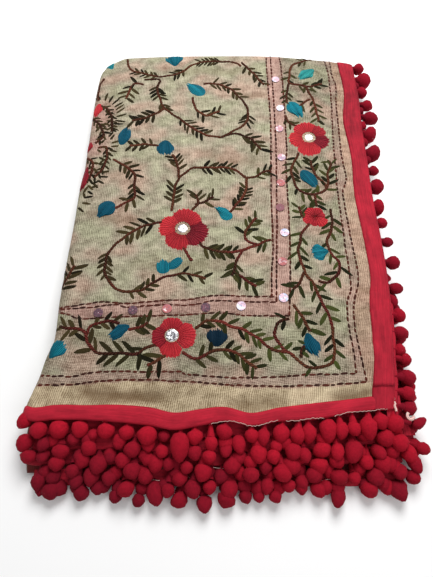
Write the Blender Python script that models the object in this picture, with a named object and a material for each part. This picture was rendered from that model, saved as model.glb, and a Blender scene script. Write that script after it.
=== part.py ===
"""Folded phulkari shawl: an embroidered cloth folded four times across and eight times
along, lying flat, with a woven tape and a felt pompom trim on its long edge and its short end.

Frame: +X towards the trimmed long edge, +Y towards the back fold, +Z up.
The origin is the middle of the flat underside. All sizes are in metres.
"""
import math

import bpy
from mathutils import Vector

MM = 0.001

# The top layer of cloth
TOP_HEIGHT = 24.0 * MM           # outer face of the top layer
CLOTH_THICKNESS = 1.5 * MM
GAP = 0.3 * MM                   # between pieces that touch
NOMINAL_WIDTH = 226.0 * MM       # left fold to trimmed edge
NOMINAL_DEPTH = 322.0 * MM       # front end to back fold
CORNER_RADIUS = 18.0 * MM        # plan view, where the two folds meet

# How the cloth rounds over a fold: a quarter ellipse, then a tuck under
FOLD_REACH = 6.0 * MM
FOLD_DROP = 4.5 * MM
TUCK_RADIUS = 4.0 * MM
TUCK_ANGLES = (30, 60)

# How it sinks towards its free edges
FRONT_SLOPE_LENGTH = 36.0 * MM
FRONT_SLOPE_DROP = 4.0 * MM
SIDE_SLOPE_LENGTH = 12.0 * MM
SIDE_SLOPE_DROP = 0.5 * MM

# Plan outline of the folded cloth: each edge is a shallow curve through three places
HALF_DEPTH = 155.0 * MM
HALF_WIDTH = 112.0 * MM
LEFT_FOLD = (-119.5 * MM, -110.5 * MM, -107.0 * MM)      # X at the front, middle and back
LONG_EDGE = (105.0 * MM, 109.5 * MM, 115.0 * MM)
FRONT_END = (-155.0 * MM, -158.5 * MM, -151.0 * MM)      # Y at the left, middle and right
BACK_FOLD = (163.0 * MM, 166.5 * MM, 158.0 * MM)

# Woven tape
TAPE_WIDTH = 12.0 * MM
TAPE_THICKNESS = 1.0 * MM
LAP_RAMP = 6.0 * MM              # length over which the side tape climbs onto the front tape

# Pompoms: soft felt drops on a narrow braid
BRAID_WIDTH = 3.0 * MM
BRAID_THICKNESS = 1.2 * MM
BRAID_GAP = 0.7 * MM             # behind a braid, to the edge of its layer
ROOT_WIDTH = 1.8 * MM
POMPOM_RADIUS = 5.0 * MM
POMPOM_SHAPE = (                 # distance from the braid, part of the radius, part of the rise
    (3.0 * MM, 0.85, 0.9),
    (8.0 * MM, 1.0, 1.0),
    (12.0 * MM, 0.35, 0.9),
)
RADIUS_VARIATION = 0.06
YAW_VARIATION = math.radians(2.5)
END_SPLAY = math.radians(18)

# Rows of pompoms at the front end, from the top layer down to the floor
FRONT_PITCH = 11.0 * MM
FRONT_ROW_TOP = 17.1 * MM        # height of the middle of the highest row
FRONT_ROW_BOTTOM = 5.6 * MM
FRONT_ROW_CLEARANCE = 0.4 * MM
FRONT_ROW_REACH = 194.5 * MM     # how far forward the lowest row lies
POMPOM_MIDDLE = 6.0 * MM         # from the braid to the middle of a pompom
FRONT_ROWS = (                   # first and last pompom of each row, counted from the middle
    (-10, 9),
    (-11, 9),
    (-11, 9),
    (-10, 9),
    (-10, 9),
)

# Rows of pompoms on the long edge
SIDE_PITCH = 15.5 * MM
SIDE_ROWS = (                    # first and last pompom, height of braid, height of pompoms
    (-9, 9, 20.3 * MM, 17.5 * MM),
    (-10, 9, 9.2 * MM, 9.0 * MM),
    (-11, 9, 6.2 * MM, 5.6 * MM),
)

# The hidden layers
SIDE_SETBACK = 4.5 * MM          # of the hidden layers behind the top layer's free edges
LEAN_BACK = -5.0 * MM            # how far the lower layers lean out at the back of the long edge
LEAN_FRONT = 10.0 * MM           # and at its front
LEAN_START = 0.0 * MM
LEAN_END = -150.0 * MM
BAND_GROOVE = 1.0 * MM           # depth of the groove between two bands of layers
FRONT_POINTS = 11                # points of the outline on each side
SIDE_POINTS = 17
BACK_POINTS = 7
LEFT_POINTS = 21
CORNER_CUT = 0.02                # part of a side left out at its square corners
TREAD_SLOPE = 0.3 * MM

COLOURS = {
    "cloth": (0.58, 0.46, 0.29),
    "hidden": (0.5, 0.38, 0.25),
    "tape": (0.52, 0.03, 0.06),
    "pompom": (0.3, 0.01, 0.02),
}


def blend(start, end, part):
    return start + (end - start) * part


def smooth(start, end, value):
    part = min(1.0, max(0.0, (value - start) / (end - start)))
    return part * part * (3 - 2 * part)


def edge_at(edge, half_length, place):
    """Read an edge's shallow curve at a place along it."""
    first, middle, last = edge
    part = place / half_length
    return middle + part * (last - first) / 2 + part * part * ((first + last) / 2 - middle)


def left_fold(y):
    return edge_at(LEFT_FOLD, HALF_DEPTH, y)


def long_edge(y):
    return edge_at(LONG_EDGE, HALF_DEPTH, y)


def front_end(x):
    return edge_at(FRONT_END, HALF_WIDTH, x)


def back_fold(x):
    return edge_at(BACK_FOLD, HALF_WIDTH, x)


def even_parts(count):
    """Even parts of a side, short of its corners."""
    return [blend(CORNER_CUT, 1 - CORNER_CUT, index / (count - 1)) for index in range(count)]


def variation(number, kind):
    """A fixed value from -1 to 1 that differs from pompom to pompom."""
    value = math.sin(number * 12.9898 + kind * 78.233) * 43758.5453
    return 2 * (value - math.floor(value)) - 1


# ---------------------------------------------------------------- the shape of the folded cloth

def plan(from_left, from_back):
    """Plan position of a place given by its nominal distances from the two folds."""
    rough_y = back_fold(0) - from_back
    left = left_fold(rough_y)
    x = left + from_left * (long_edge(rough_y) - left) / NOMINAL_WIDTH
    back = back_fold(x)
    return x, back - from_back * (back - front_end(x)) / NOMINAL_DEPTH


def sinking(from_left, from_back):
    """How far the top layer has sunk here towards its front end and its long edge."""
    to_front = 1 - min(1.0, max(0.0, NOMINAL_DEPTH - from_back) / FRONT_SLOPE_LENGTH)
    to_side = 1 - min(1.0, max(0.0, NOMINAL_WIDTH - from_left) / SIDE_SLOPE_LENGTH)
    return FRONT_SLOPE_DROP * to_front ** 2 + SIDE_SLOPE_DROP * to_side ** 2


def settled(height, sunk):
    """A height in the stack once the layers have sunk together by so much at the top."""
    return height * (1 - sunk / TOP_HEIGHT)


def fold_drop(inside):
    """Drop of the outer face at a distance inside the fold line."""
    out = 1 - min(1.0, max(0.0, inside) / FOLD_REACH)
    return FOLD_DROP * (1 - math.sqrt(1 - out * out))


def sheet_point(from_left, from_back):
    """A point of the top layer's outer face; the corner of the two folds is drawn round."""
    inside = min(from_left, from_back)
    if from_left < CORNER_RADIUS and from_back < CORNER_RADIUS:
        left_part = 1 - from_left / CORNER_RADIUS
        back_part = 1 - from_back / CORNER_RADIUS
        out_left = left_part * math.sqrt(1 - back_part ** 2 / 2)
        out_back = back_part * math.sqrt(1 - left_part ** 2 / 2)
        from_left = CORNER_RADIUS * (1 - out_left)
        from_back = CORNER_RADIUS * (1 - out_back)
        inside = CORNER_RADIUS * (1 - math.hypot(out_left, out_back))
    x, y = plan(from_left, from_back)
    return Vector((x, y, settled(TOP_HEIGHT - fold_drop(inside), sinking(from_left, from_back))))


def stations(flat_length, count, slope_length, slope_parts):
    """Distances from a fold: close steps round it, even steps over the flat, then the slope."""
    steps = [FOLD_REACH * (1 - math.sin(math.radians(angle))) for angle in (90, 60, 30, 0)]
    steps += [12.0 * MM, CORNER_RADIUS]
    steps += [blend(CORNER_RADIUS, flat_length, part / count) for part in range(1, count + 1)]
    return steps + [flat_length + slope_length * part for part in slope_parts]


def across_stations():
    return stations(NOMINAL_WIDTH - SIDE_SLOPE_LENGTH, 7, SIDE_SLOPE_LENGTH, (0.5, 1))


def back_stations():
    slope_parts = (0.25, 0.5, 0.75, 1)
    return stations(NOMINAL_DEPTH - FRONT_SLOPE_LENGTH, 8, FRONT_SLOPE_LENGTH, slope_parts)


def tucked(rim_point, outward, angle):
    """A rim point carried on under the fold by a tuck angle."""
    turn = math.radians(angle)
    inward = outward * -TUCK_RADIUS * (1 - math.cos(turn))
    return rim_point + inward + Vector((0, 0, -TUCK_RADIUS * math.sin(turn)))


def rim_outward(rim, index):
    """Outward direction, level, across a rim that runs from the front left round to the back."""
    before = rim[max(0, index - 1)]
    after = rim[min(len(rim) - 1, index + 1)]
    run = (after - before).xy.normalized()
    return Vector((-run.y, run.x, 0))


# ---------------------------------------------------------------- making solids

def material(name, colour, roughness):
    made = bpy.data.materials.new(name)
    made.use_nodes = True
    surface = made.node_tree.nodes["Principled BSDF"]
    surface.inputs["Base Color"].default_value = (*colour, 1)
    surface.inputs["Roughness"].default_value = roughness
    surface.inputs["Metallic"].default_value = 0.0
    return made


def add_object(name, points, faces, colour):
    mesh = bpy.data.meshes.new(name)
    mesh.from_pydata([tuple(point) for point in points], [], faces)
    mesh.validate()
    mesh.shade_smooth()
    mesh.set_sharp_from_angle(angle=math.radians(40))
    mesh.materials.append(material(name, COLOURS[colour], 0.9))
    made = bpy.data.objects.new(name, mesh)
    bpy.context.collection.objects.link(made)
    return made


def grid_faces(columns, rows):
    faces = []
    for column in range(columns - 1):
        for row in range(rows - 1):
            corner = column * rows + row
            faces.append((corner, corner + rows, corner + rows + 1, corner + 1))
    return faces


def thicken(made, thickness):
    """Give a sheet its thickness on its inner side."""
    wall = made.modifiers.new("Wall", "SOLIDIFY")
    wall.thickness = thickness
    wall.offset = -1.0
    wall.use_even_offset = True
    return made


# ---------------------------------------------------------------- the top layer

def top_layer():
    across = across_stations()
    down = back_stations()[::-1]
    columns, rows = len(across), len(down)
    points = [sheet_point(from_left, from_back) for from_left in across for from_back in down]
    faces = grid_faces(columns, rows)
    rim = list(range(rows)) + [column * rows + rows - 1 for column in range(1, columns)]
    rim_points = [points[index] for index in rim]
    for angle in TUCK_ANGLES:
        row_start = len(points)
        for index, point in enumerate(rim_points):
            points.append(tucked(point, rim_outward(rim_points, index), angle))
        next_rim = list(range(row_start, len(points)))
        for index in range(len(rim) - 1):
            faces.append((rim[index], rim[index + 1], next_rim[index + 1], next_rim[index]))
        rim = next_rim
    return thicken(add_object("top_layer", points, faces, "cloth"), CLOTH_THICKNESS)


# ---------------------------------------------------------------- woven tapes

def normal_at(from_left, from_back):
    """Outward normal of the top layer, from its neighbouring points."""
    step = 0.5 * MM
    here = sheet_point(from_left, from_back)
    beside = sheet_point(from_left - step, from_back)
    behind = sheet_point(from_left, max(0.0, from_back - step))
    if from_back < step:
        behind = here + Vector((0, 0, -step))
    return (behind - here).cross(beside - here).normalized()


def tape_points(places, lifts):
    """Points of a tape's outer face: the top layer's own points moved out, three across."""
    points = []
    for row, lift in zip(places, lifts):
        for from_left, from_back in row:
            normal = normal_at(from_left, from_back)
            points.append(sheet_point(from_left, from_back) + normal * lift)
    return points


def tape_side():
    """The tape on the long edge, from the back fold to the front end, where it laps the other."""
    lap_start = NOMINAL_DEPTH - TAPE_WIDTH - 2 * GAP
    rows = sorted(back_stations() + [lap_start - LAP_RAMP, lap_start])
    places = [[(NOMINAL_WIDTH - TAPE_WIDTH * part, row) for part in (1, 0.5, 0)] for row in rows]
    lift = GAP + TAPE_THICKNESS
    lifts = [2 * lift if row >= lap_start else lift for row in rows]
    points = tape_points(places, lifts)
    made = add_object("tape_side", points, grid_faces(len(rows), 3), "tape")
    return thicken(made, TAPE_THICKNESS)


def tape_front():
    """The tape across the front end, from round the left fold to the long edge."""
    columns = across_stations()[1:]
    places = [[(column, NOMINAL_DEPTH - TAPE_WIDTH * part) for part in (1, 0.5, 0)]
              for column in columns]
    points = tape_points(places, [GAP + TAPE_THICKNESS] * len(columns))
    faces = [face[::-1] for face in grid_faces(len(columns), 3)]
    return thicken(add_object("tape_front", points, faces, "tape"), TAPE_THICKNESS)


# ---------------------------------------------------------------- the hidden layers

def row_height(row):
    """Height of the middle of a front row of pompoms."""
    return blend(FRONT_ROW_TOP, FRONT_ROW_BOTTOM, row / (len(FRONT_ROWS) - 1))


def tread_height(row):
    """Height of the layer whose braid carries a front row; it lies under the row above."""
    return row_height(row - 1) - POMPOM_RADIUS - FRONT_ROW_CLEARANCE


def braid_line(row, x):
    """Where the front face of a front row's braid runs."""
    top = front_end(x) + 0.5 * MM
    bottom = POMPOM_MIDDLE - FRONT_ROW_REACH
    return blend(top, bottom, row / (len(FRONT_ROWS) - 1))


def layer_front(row, x):
    """Front edge of the hidden layers behind a front row's braid."""
    return braid_line(row, x) + BRAID_WIDTH + BRAID_GAP


def layer_side(row, y):
    """Long edge of the hidden layers; those under the first row lean in at the back, out in front."""
    edge = long_edge(y) - SIDE_SETBACK
    if row == 0:
        return edge
    return edge + blend(LEAN_BACK, LEAN_FRONT, smooth(-LEAN_START, -LEAN_END, -y))


def hidden_rings():
    """Rings from the top down: height at the folds, inset at the folds, front row in front of it,
    and how far the ring lies in from the free edges while it still follows the top layer."""
    cover = CLOTH_THICKNESS + GAP
    reach, drop = FOLD_REACH - cover, FOLD_DROP - cover
    fold_height = TOP_HEIGHT - FOLD_DROP
    tuck = TUCK_RADIUS - cover
    half = math.sqrt(0.5)
    groove_top = fold_height - tuck
    groove_bottom = fold_height - TUCK_RADIUS - GAP
    rings = [
        (TOP_HEIGHT - cover, FOLD_REACH + 2 * MM, 0, 1.0),
        (fold_height + drop * half, FOLD_REACH - reach * half, 0, 0.5),
        (fold_height, cover, 0, 0.2),
        (fold_height - tuck * half, TUCK_RADIUS - tuck * half, 0, 0.0),
        (groove_top, TUCK_RADIUS, 0, None),
        (groove_bottom, TUCK_RADIUS, 0, None),
    ]
    top = groove_bottom
    last = len(FRONT_ROWS) - 1
    for row in range(len(FRONT_ROWS)):
        bottom = tread_height(row + 1) / settled(1.0, FRONT_SLOPE_DROP) if row < last else 0.0
        rings.append((top - TREAD_SLOPE, BAND_GROOVE, row, None))
        rings.append((blend(top, bottom, 0.5), 0.0, row, None))
        rings.append((bottom, BAND_GROOVE, row, None))
        top = bottom
    return rings


def ring_points(height, inset, row, follow):
    """Points round one ring of the hidden layers, anticlockwise from the front left corner."""
    cover = CLOTH_THICKNESS + GAP
    front_in = (follow or 0.0) * (FRONT_SLOPE_LENGTH - SIDE_SETBACK)
    side_in = (follow or 0.0) * SIDE_SLOPE_LENGTH
    points = []

    def add_free(x, y):
        """A point on a free edge, set just under the top layer where the ring follows it."""
        sunk = sinking(NOMINAL_WIDTH - (long_edge(y) - x), NOMINAL_DEPTH - (y - front_end(x)))
        if follow is None:
            points.append((x, y, settled(height, sunk)))
        else:
            points.append((x, y, settled(TOP_HEIGHT, sunk) - cover - GAP))

    def add_fold(from_left, from_back):
        """A point at a fold, inside the top layer where the ring follows it."""
        sunk = sinking(from_left, from_back)
        if follow is None:
            z = settled(height, sunk)
        else:
            z = settled(height + cover, sunk) - cover
        points.append((*plan(from_left, from_back), z))

    def front_y(x):
        return layer_front(row, x) + front_in

    left_x = left_fold(front_y(-HALF_WIDTH)) + inset
    right_x = layer_side(row, front_y(HALF_WIDTH)) - side_in
    for part in even_parts(FRONT_POINTS):
        x = blend(left_x, right_x, part)
        add_free(x, front_y(x))
    start_y, end_y = front_y(right_x), back_fold(right_x) - inset
    for part in even_parts(SIDE_POINTS):
        y = blend(start_y, end_y, part)
        add_free(layer_side(row, y) - side_in, y)
    start = NOMINAL_WIDTH - (long_edge(end_y) - layer_side(row, end_y) + side_in)
    for part in even_parts(BACK_POINTS):
        add_fold(blend(start, CORNER_RADIUS, part), inset)
    for angle in (90, 67.5, 45, 22.5, 0):
        turn = math.radians(angle)
        radius = CORNER_RADIUS - inset
        add_fold(CORNER_RADIUS - radius * math.cos(turn), CORNER_RADIUS - radius * math.sin(turn))
    end = NOMINAL_DEPTH - (front_y(left_x) - front_end(left_x))
    for part in even_parts(LEFT_POINTS):
        add_fold(inset, blend(CORNER_RADIUS, end, part))
    return points


def folded_layers():
    rings = [ring_points(*ring) for ring in hidden_rings()]
    count = len(rings[0])
    points = [point for ring in rings for point in ring]
    faces = [tuple(range(count))]
    for ring in range(len(rings) - 1):
        for index in range(count):
            after = (index + 1) % count
            upper = ring * count
            lower = upper + count
            faces.append((lower + index, lower + after, upper + after, upper + index))
    last = (len(rings) - 1) * count
    faces.append(tuple(range(last + count - 1, last - 1, -1)))
    return add_object("folded_layers", points, faces, "hidden")


# ---------------------------------------------------------------- pompom trims

def pompom_rings(root_ring, outward, height, radius):
    """Rings of a pompom, four points each, from its root on the braid outwards."""
    root = sum(root_ring, Vector()) / 4
    level = Vector((-outward.y, outward.x, 0))
    up = Vector((0, 0, 1))
    rings = []
    for distance, width, risen in POMPOM_SHAPE:
        middle = root + outward * distance + up * (height - root.z) * risen
        reach = radius * width
        rings.append([middle - up * reach, middle + level * reach,
                      middle + up * reach, middle - level * reach])
    return rings


def braid_section(place, outward):
    """Four corners of the braid at one place: front bottom, front top, back top, back bottom."""
    half = Vector((0, 0, BRAID_THICKNESS / 2))
    back = place - outward * BRAID_WIDTH
    return [place - half, place + half, back + half, back - half]


def pompom_trim(name, line, places, height, splay, number):
    """A braid along a line with a pompom at each place; the line gives a braid point for a place."""
    sections, roots = [], []
    start = places[0] - ROOT_WIDTH * 1.5
    end = places[-1] + ROOT_WIDTH * 1.5
    for place in [start] + [place + side * ROOT_WIDTH / 2 for place in places for side in (-1, 1)] + [end]:
        step = line(place + MM) - line(place - MM)
        run = step.xy.normalized()
        outward = Vector((run.y, -run.x, 0))
        sections.append((braid_section(line(place), outward), outward))
    points = [corner for section, outward in sections for corner in section]
    faces = [(0, 1, 2, 3)]
    for index in range(len(sections) - 1):
        here, there = 4 * index, 4 * index + 4
        for side in range(4):
            after = (side + 1) % 4
            is_root = index % 2 == 1
            if side == 0 and is_root:
                roots.append((index // 2, (here, there, there + 1, here + 1), sections[index][1]))
                continue
            faces.append((here + side, there + side, there + after, here + after))
    last = 4 * (len(sections) - 1)
    faces.append((last + 3, last + 2, last + 1, last))
    for index, root, outward in roots:
        yaw = YAW_VARIATION * variation(number + index, 1)
        if splay and index == 0:
            yaw -= END_SPLAY
        if splay and index == len(places) - 1:
            yaw += END_SPLAY
        turned = Vector((outward.x * math.cos(yaw) - outward.y * math.sin(yaw),
                         outward.x * math.sin(yaw) + outward.y * math.cos(yaw), 0))
        radius = POMPOM_RADIUS * (1 - RADIUS_VARIATION * (1 + variation(number + index, 2)) / 2)
        corners = [points[corner] for corner in root]
        previous = list(root)
        for ring in pompom_rings(corners, turned, height, radius):
            first = len(points)
            points.extend(ring)
            current = list(range(first, first + 4))
            for side in range(4):
                after = (side + 1) % 4
                faces.append((previous[side], previous[after], current[after], current[side]))
            previous = current
        faces.append(tuple(previous))
    return add_object(name, points, faces, "pompom")


def lattice(row, first, last, pitch):
    """Places of a row's pompoms; every other row is shifted by half a pitch."""
    shift = 0.5 * (row % 2)
    return [(number + shift) * pitch for number in range(first, last + 1)]


def front_trims():
    for row, (first, last) in enumerate(FRONT_ROWS):
        if row == 0:
            hem = TOP_HEIGHT - FRONT_SLOPE_DROP - CLOTH_THICKNESS
            height = hem - GAP - BRAID_THICKNESS / 2
        else:
            height = tread_height(row) - BRAID_THICKNESS / 2

        def line(x, row=row, height=height):
            return Vector((x, braid_line(row, x), height))

        places = lattice(row, first, last, FRONT_PITCH)
        pompom_trim("pompoms_front_%d" % (row + 1), line, places, row_height(row), True, 100 * row)


def side_trims():
    for row, (first, last, height, pompom_height) in enumerate(SIDE_ROWS):

        def line(y, height=height, row=row):
            x = layer_side(row, y) + BRAID_GAP + BRAID_WIDTH
            sunk = 0.0
            if row == 0:
                sunk = sinking(0, NOMINAL_DEPTH - (y - front_end(x)))
            return Vector((x, y, height - sunk))

        places = lattice(row, first, last, SIDE_PITCH)
        number = 1000 + 100 * row
        pompom_trim("pompoms_side_%d" % (row + 1), line, places, pompom_height, False, number)


def clear_scene():
    for old in list(bpy.data.objects):
        bpy.data.objects.remove(old, do_unlink=True)


clear_scene()
folded_layers()
top_layer()
tape_side()
tape_front()
front_trims()
side_trims()
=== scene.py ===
"""Looks of the folded phulkari shawl.

Sizes and layouts are in millimetres in the part's own frame: +X to the trimmed long edge,
+Y to the back fold, +Z up from the middle of the flat underside.
"""
import math

import bmesh
import bpy
from mathutils import Matrix, Vector
from mathutils.bvhtree import BVHTree


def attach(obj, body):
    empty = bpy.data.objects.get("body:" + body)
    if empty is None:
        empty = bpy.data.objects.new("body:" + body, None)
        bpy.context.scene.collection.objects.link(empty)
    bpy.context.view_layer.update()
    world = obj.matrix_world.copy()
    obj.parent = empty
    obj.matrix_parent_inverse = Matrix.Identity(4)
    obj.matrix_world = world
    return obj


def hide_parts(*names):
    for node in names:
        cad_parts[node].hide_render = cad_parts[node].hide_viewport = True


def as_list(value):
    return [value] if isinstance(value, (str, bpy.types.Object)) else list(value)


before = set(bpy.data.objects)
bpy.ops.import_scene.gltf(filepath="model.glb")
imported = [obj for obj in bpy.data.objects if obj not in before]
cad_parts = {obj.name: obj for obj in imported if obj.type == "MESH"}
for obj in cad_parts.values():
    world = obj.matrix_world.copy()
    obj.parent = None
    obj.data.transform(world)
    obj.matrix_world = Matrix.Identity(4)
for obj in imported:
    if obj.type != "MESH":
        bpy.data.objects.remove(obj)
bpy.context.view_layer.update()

MM = 0.001
UP = Vector((0, 0, 1))

# ---------------------------------------------------------------- the folded cloth

TOP_HEIGHT = 24.0
CLOTH_THICKNESS = 1.0
NOMINAL_WIDTH = 226.0            # left fold to trimmed edge
NOMINAL_DEPTH = 322.0            # front end to back fold
BACK_Y = 165.5                   # about where the back fold lies
CORNER_RADIUS = 18.0
FOLD_REACH = 6.0
FOLD_DROP = 4.5
TUCK_RADIUS = 4.0
TUCK_TURN = math.radians(75)
TUCK_TRAVEL = TUCK_RADIUS * TUCK_TURN
ROUND_TRAVEL = 8.3
FRONT_SLOPE_LENGTH = 36.0
FRONT_SLOPE_DROP = 4.0
SIDE_SLOPE_LENGTH = 12.0
SIDE_SLOPE_DROP = 0.5
CLOTH_STEP = 2.0                 # between points of the cloth

# Plan outline: places along each edge, and where the edge runs there
LEFT_FOLD = ((-160, -126), (-149, -125.0), (-141, -122.5), (-129, -119), (-117, -116.8),
             (-104, -113.2), (-75, -113.8), (-43, -113.2), (-10, -112.2), (18, -112),
             (38, -110.5), (122, -110.5), (143, -109.5), (155, -107), (165, -103.5))
LONG_EDGE = ((-156, 104.5), (-137, 106), (-120, 108), (-103, 110), (-84, 112), (-60, 113),
             (-29, 113.2), (7, 112.5), (43, 113.2), (88, 114), (120, 115.5), (165, 115))
FRONT_END = ((-127, -153), (-118, -155.5), (-107, -154.5), (-88, -154.5), (-64, -156),
             (-46, -158), (-31, -160.5), (-16, -158), (0, -155.5), (16, -158), (32, -155.5),
             (56, -154), (84, -149.5), (105, -148.5))
BACK_FOLD = ((-112, 160.5), (-98, 161.5), (-86, 164.5), (-55, 166.5), (-21, 167.5), (43, 167),
             (96, 160.5), (116, 156))

# Creases: two ends, half-width, rise
CREASES = (
    (-96, -138, -34, -141, 4.5, -1.3),
    (-70, -147, -12, -148, 4.0, 0.7),
    (66, -142, 94, -137, 3.5, -1.3),
    (0, -145, 38, -143, 4.0, -0.8),
    (40, -140, 66, -143, 4.0, 0.6),
    (-26, -136, 6, -139, 3.5, 0.5),
    (88, 112, 106, 110, 1.8, -0.7),
    (89, 93, 107, 95, 1.6, -0.6),
    (90, 73, 104, 71, 1.8, -0.6),
    (91, 40, 106, 42, 2.0, -0.4),
    (86, 13, 104, 11, 1.7, -0.7),
    (90, -23, 104, -25, 2.2, -0.5),
    (88, -67, 106, -69, 1.8, -0.9),
    (86, -84, 104, -82, 1.8, -0.7),
    (88, -104, 103, -106, 2.0, -0.5),
    (80, -122, 101, -120, 2.4, -0.5),
    (12, 116, 38, 117, 2.6, -1.1),
    (-4, 109, 34, 110, 3.0, 0.4),
    (-58, -3, -36, 2, 3.0, 0.5),
    (-104, -4, -60, -12, 5.0, -0.9),
    (-108, -30, -70, -46, 6.0, 0.9),
    (-66, -50, 10, -44, 7.0, -0.8),
    (-20, 52, 34, 44, 6.0, -0.8),
    (-90, 96, -40, 112, 7.0, 0.7),
    (-60, 148, 30, 146, 5.0, -0.7),
    (56, 128, 88, 140, 5.0, 0.4),
    (52, 30, 86, 20, 6.0, -0.6),
    (50, -44, 84, -54, 7.0, 0.8),
    (-112, -96, -74, -104, 5.0, -0.5),
    (-20, -104, 30, -112, 6.0, 0.4),
    (48, -98, 78, -88, 6.0, -0.4),
    (-98, 30, -60, 46, 5.0, -0.4),
    (-101, 70, -96, 148, 4.0, -0.5),
)
CREASE_TAPER = 0.25              # part of its length over which a crease fades out
CREASE_OVERRUN = 0.15            # and how far it fades beyond its ends
CREASE_BOW = 0.5                 # how far a crease bows sideways, in half-widths

# The hem's tapes: widths at places along them
SIDE_TAPE = ((-150, 13), (-134, 13), (-120, 12), (-103, 13), (-80, 14), (-60, 11.5), (-34, 12),
             (-5, 13), (19, 13), (43, 12), (63, 13), (84, 14.5), (120, 11.5), (156, 13))
FRONT_TAPE = ((-122, 8), (-100, 9), (-82, 8.8), (-66, 10), (-46, 10.5), (-31, 10), (-10, 9.5),
              (0, 8.8), (16, 7.5), (32, 8), (56, 9.5), (84, 8.5), (105, 9.5))
TAPE_THICKNESS = 0.9
TAPE_WALL = 0.6
TAPE_STEP = 2.0
TAPE_ROLL = 0.5                  # how far its edges roll down
LAP_START = -135.0               # where the side tape's end piece shows below its fold
SIDE_TAPE_X = 110                # where the long side's own depth is read
SIDE_TAPE_DEPTH = 306
# The side tape's two runs: from and to Y, the rise over what they lap, and its ramp's length
SIDE_TAPE_RUNS = ((156.0, LAP_START, 1.0, 9), (LAP_START + 2, -150.5, 0.15, 0))
SIDE_TAPE_TONES = (-0.12, -0.3)  # the side tape is duller towards the back

# ---------------------------------------------------------------- the hidden layers

ROW_COUNT = 5
ROW_TOP = 17.1                   # height of the middle of the highest front row of pompoms
ROW_BOTTOM = 5.6
TOP_BRAID = 18.0
ROW_RADIUS = 5.0
ROW_CLEARANCE = 0.4
ROW_REACH = 188.5                # how far forward the lowest braid lies
SIDE_SETBACK = 4.5
LEAN_BACK = -5.0
LEAN_FRONT = 10.0
LEAN_END = -150.0
BRAID_WIDTH = 3.0
LAYER_TOPS = (22.0, 20.2, 18.4, 16.3, 14.04, 12.3, 10.56, 8.8, 7.14, 5.5, 3.72, 1.9, 0.0)
COVERED_ABOVE = 15.4             # folds above this height lie inside the top layer
COVERED_INSET = 6.5
LIP_DEPTH = 1.3
FRONT_PARTS = 60                 # points along each side of a hidden layer, and round a corner
SIDE_PARTS = 70
BACK_PARTS = 50
CORNER_PARTS = 16
LIP_SHARES = (0.0, 0.18, 0.5, 0.82, 1.0)
VALLEY_SHADE = 0.9               # painted shade between two folds
STACK_ROUND = 1100               # about how far it is round the stack

# ---------------------------------------------------------------- the pompoms

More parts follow.
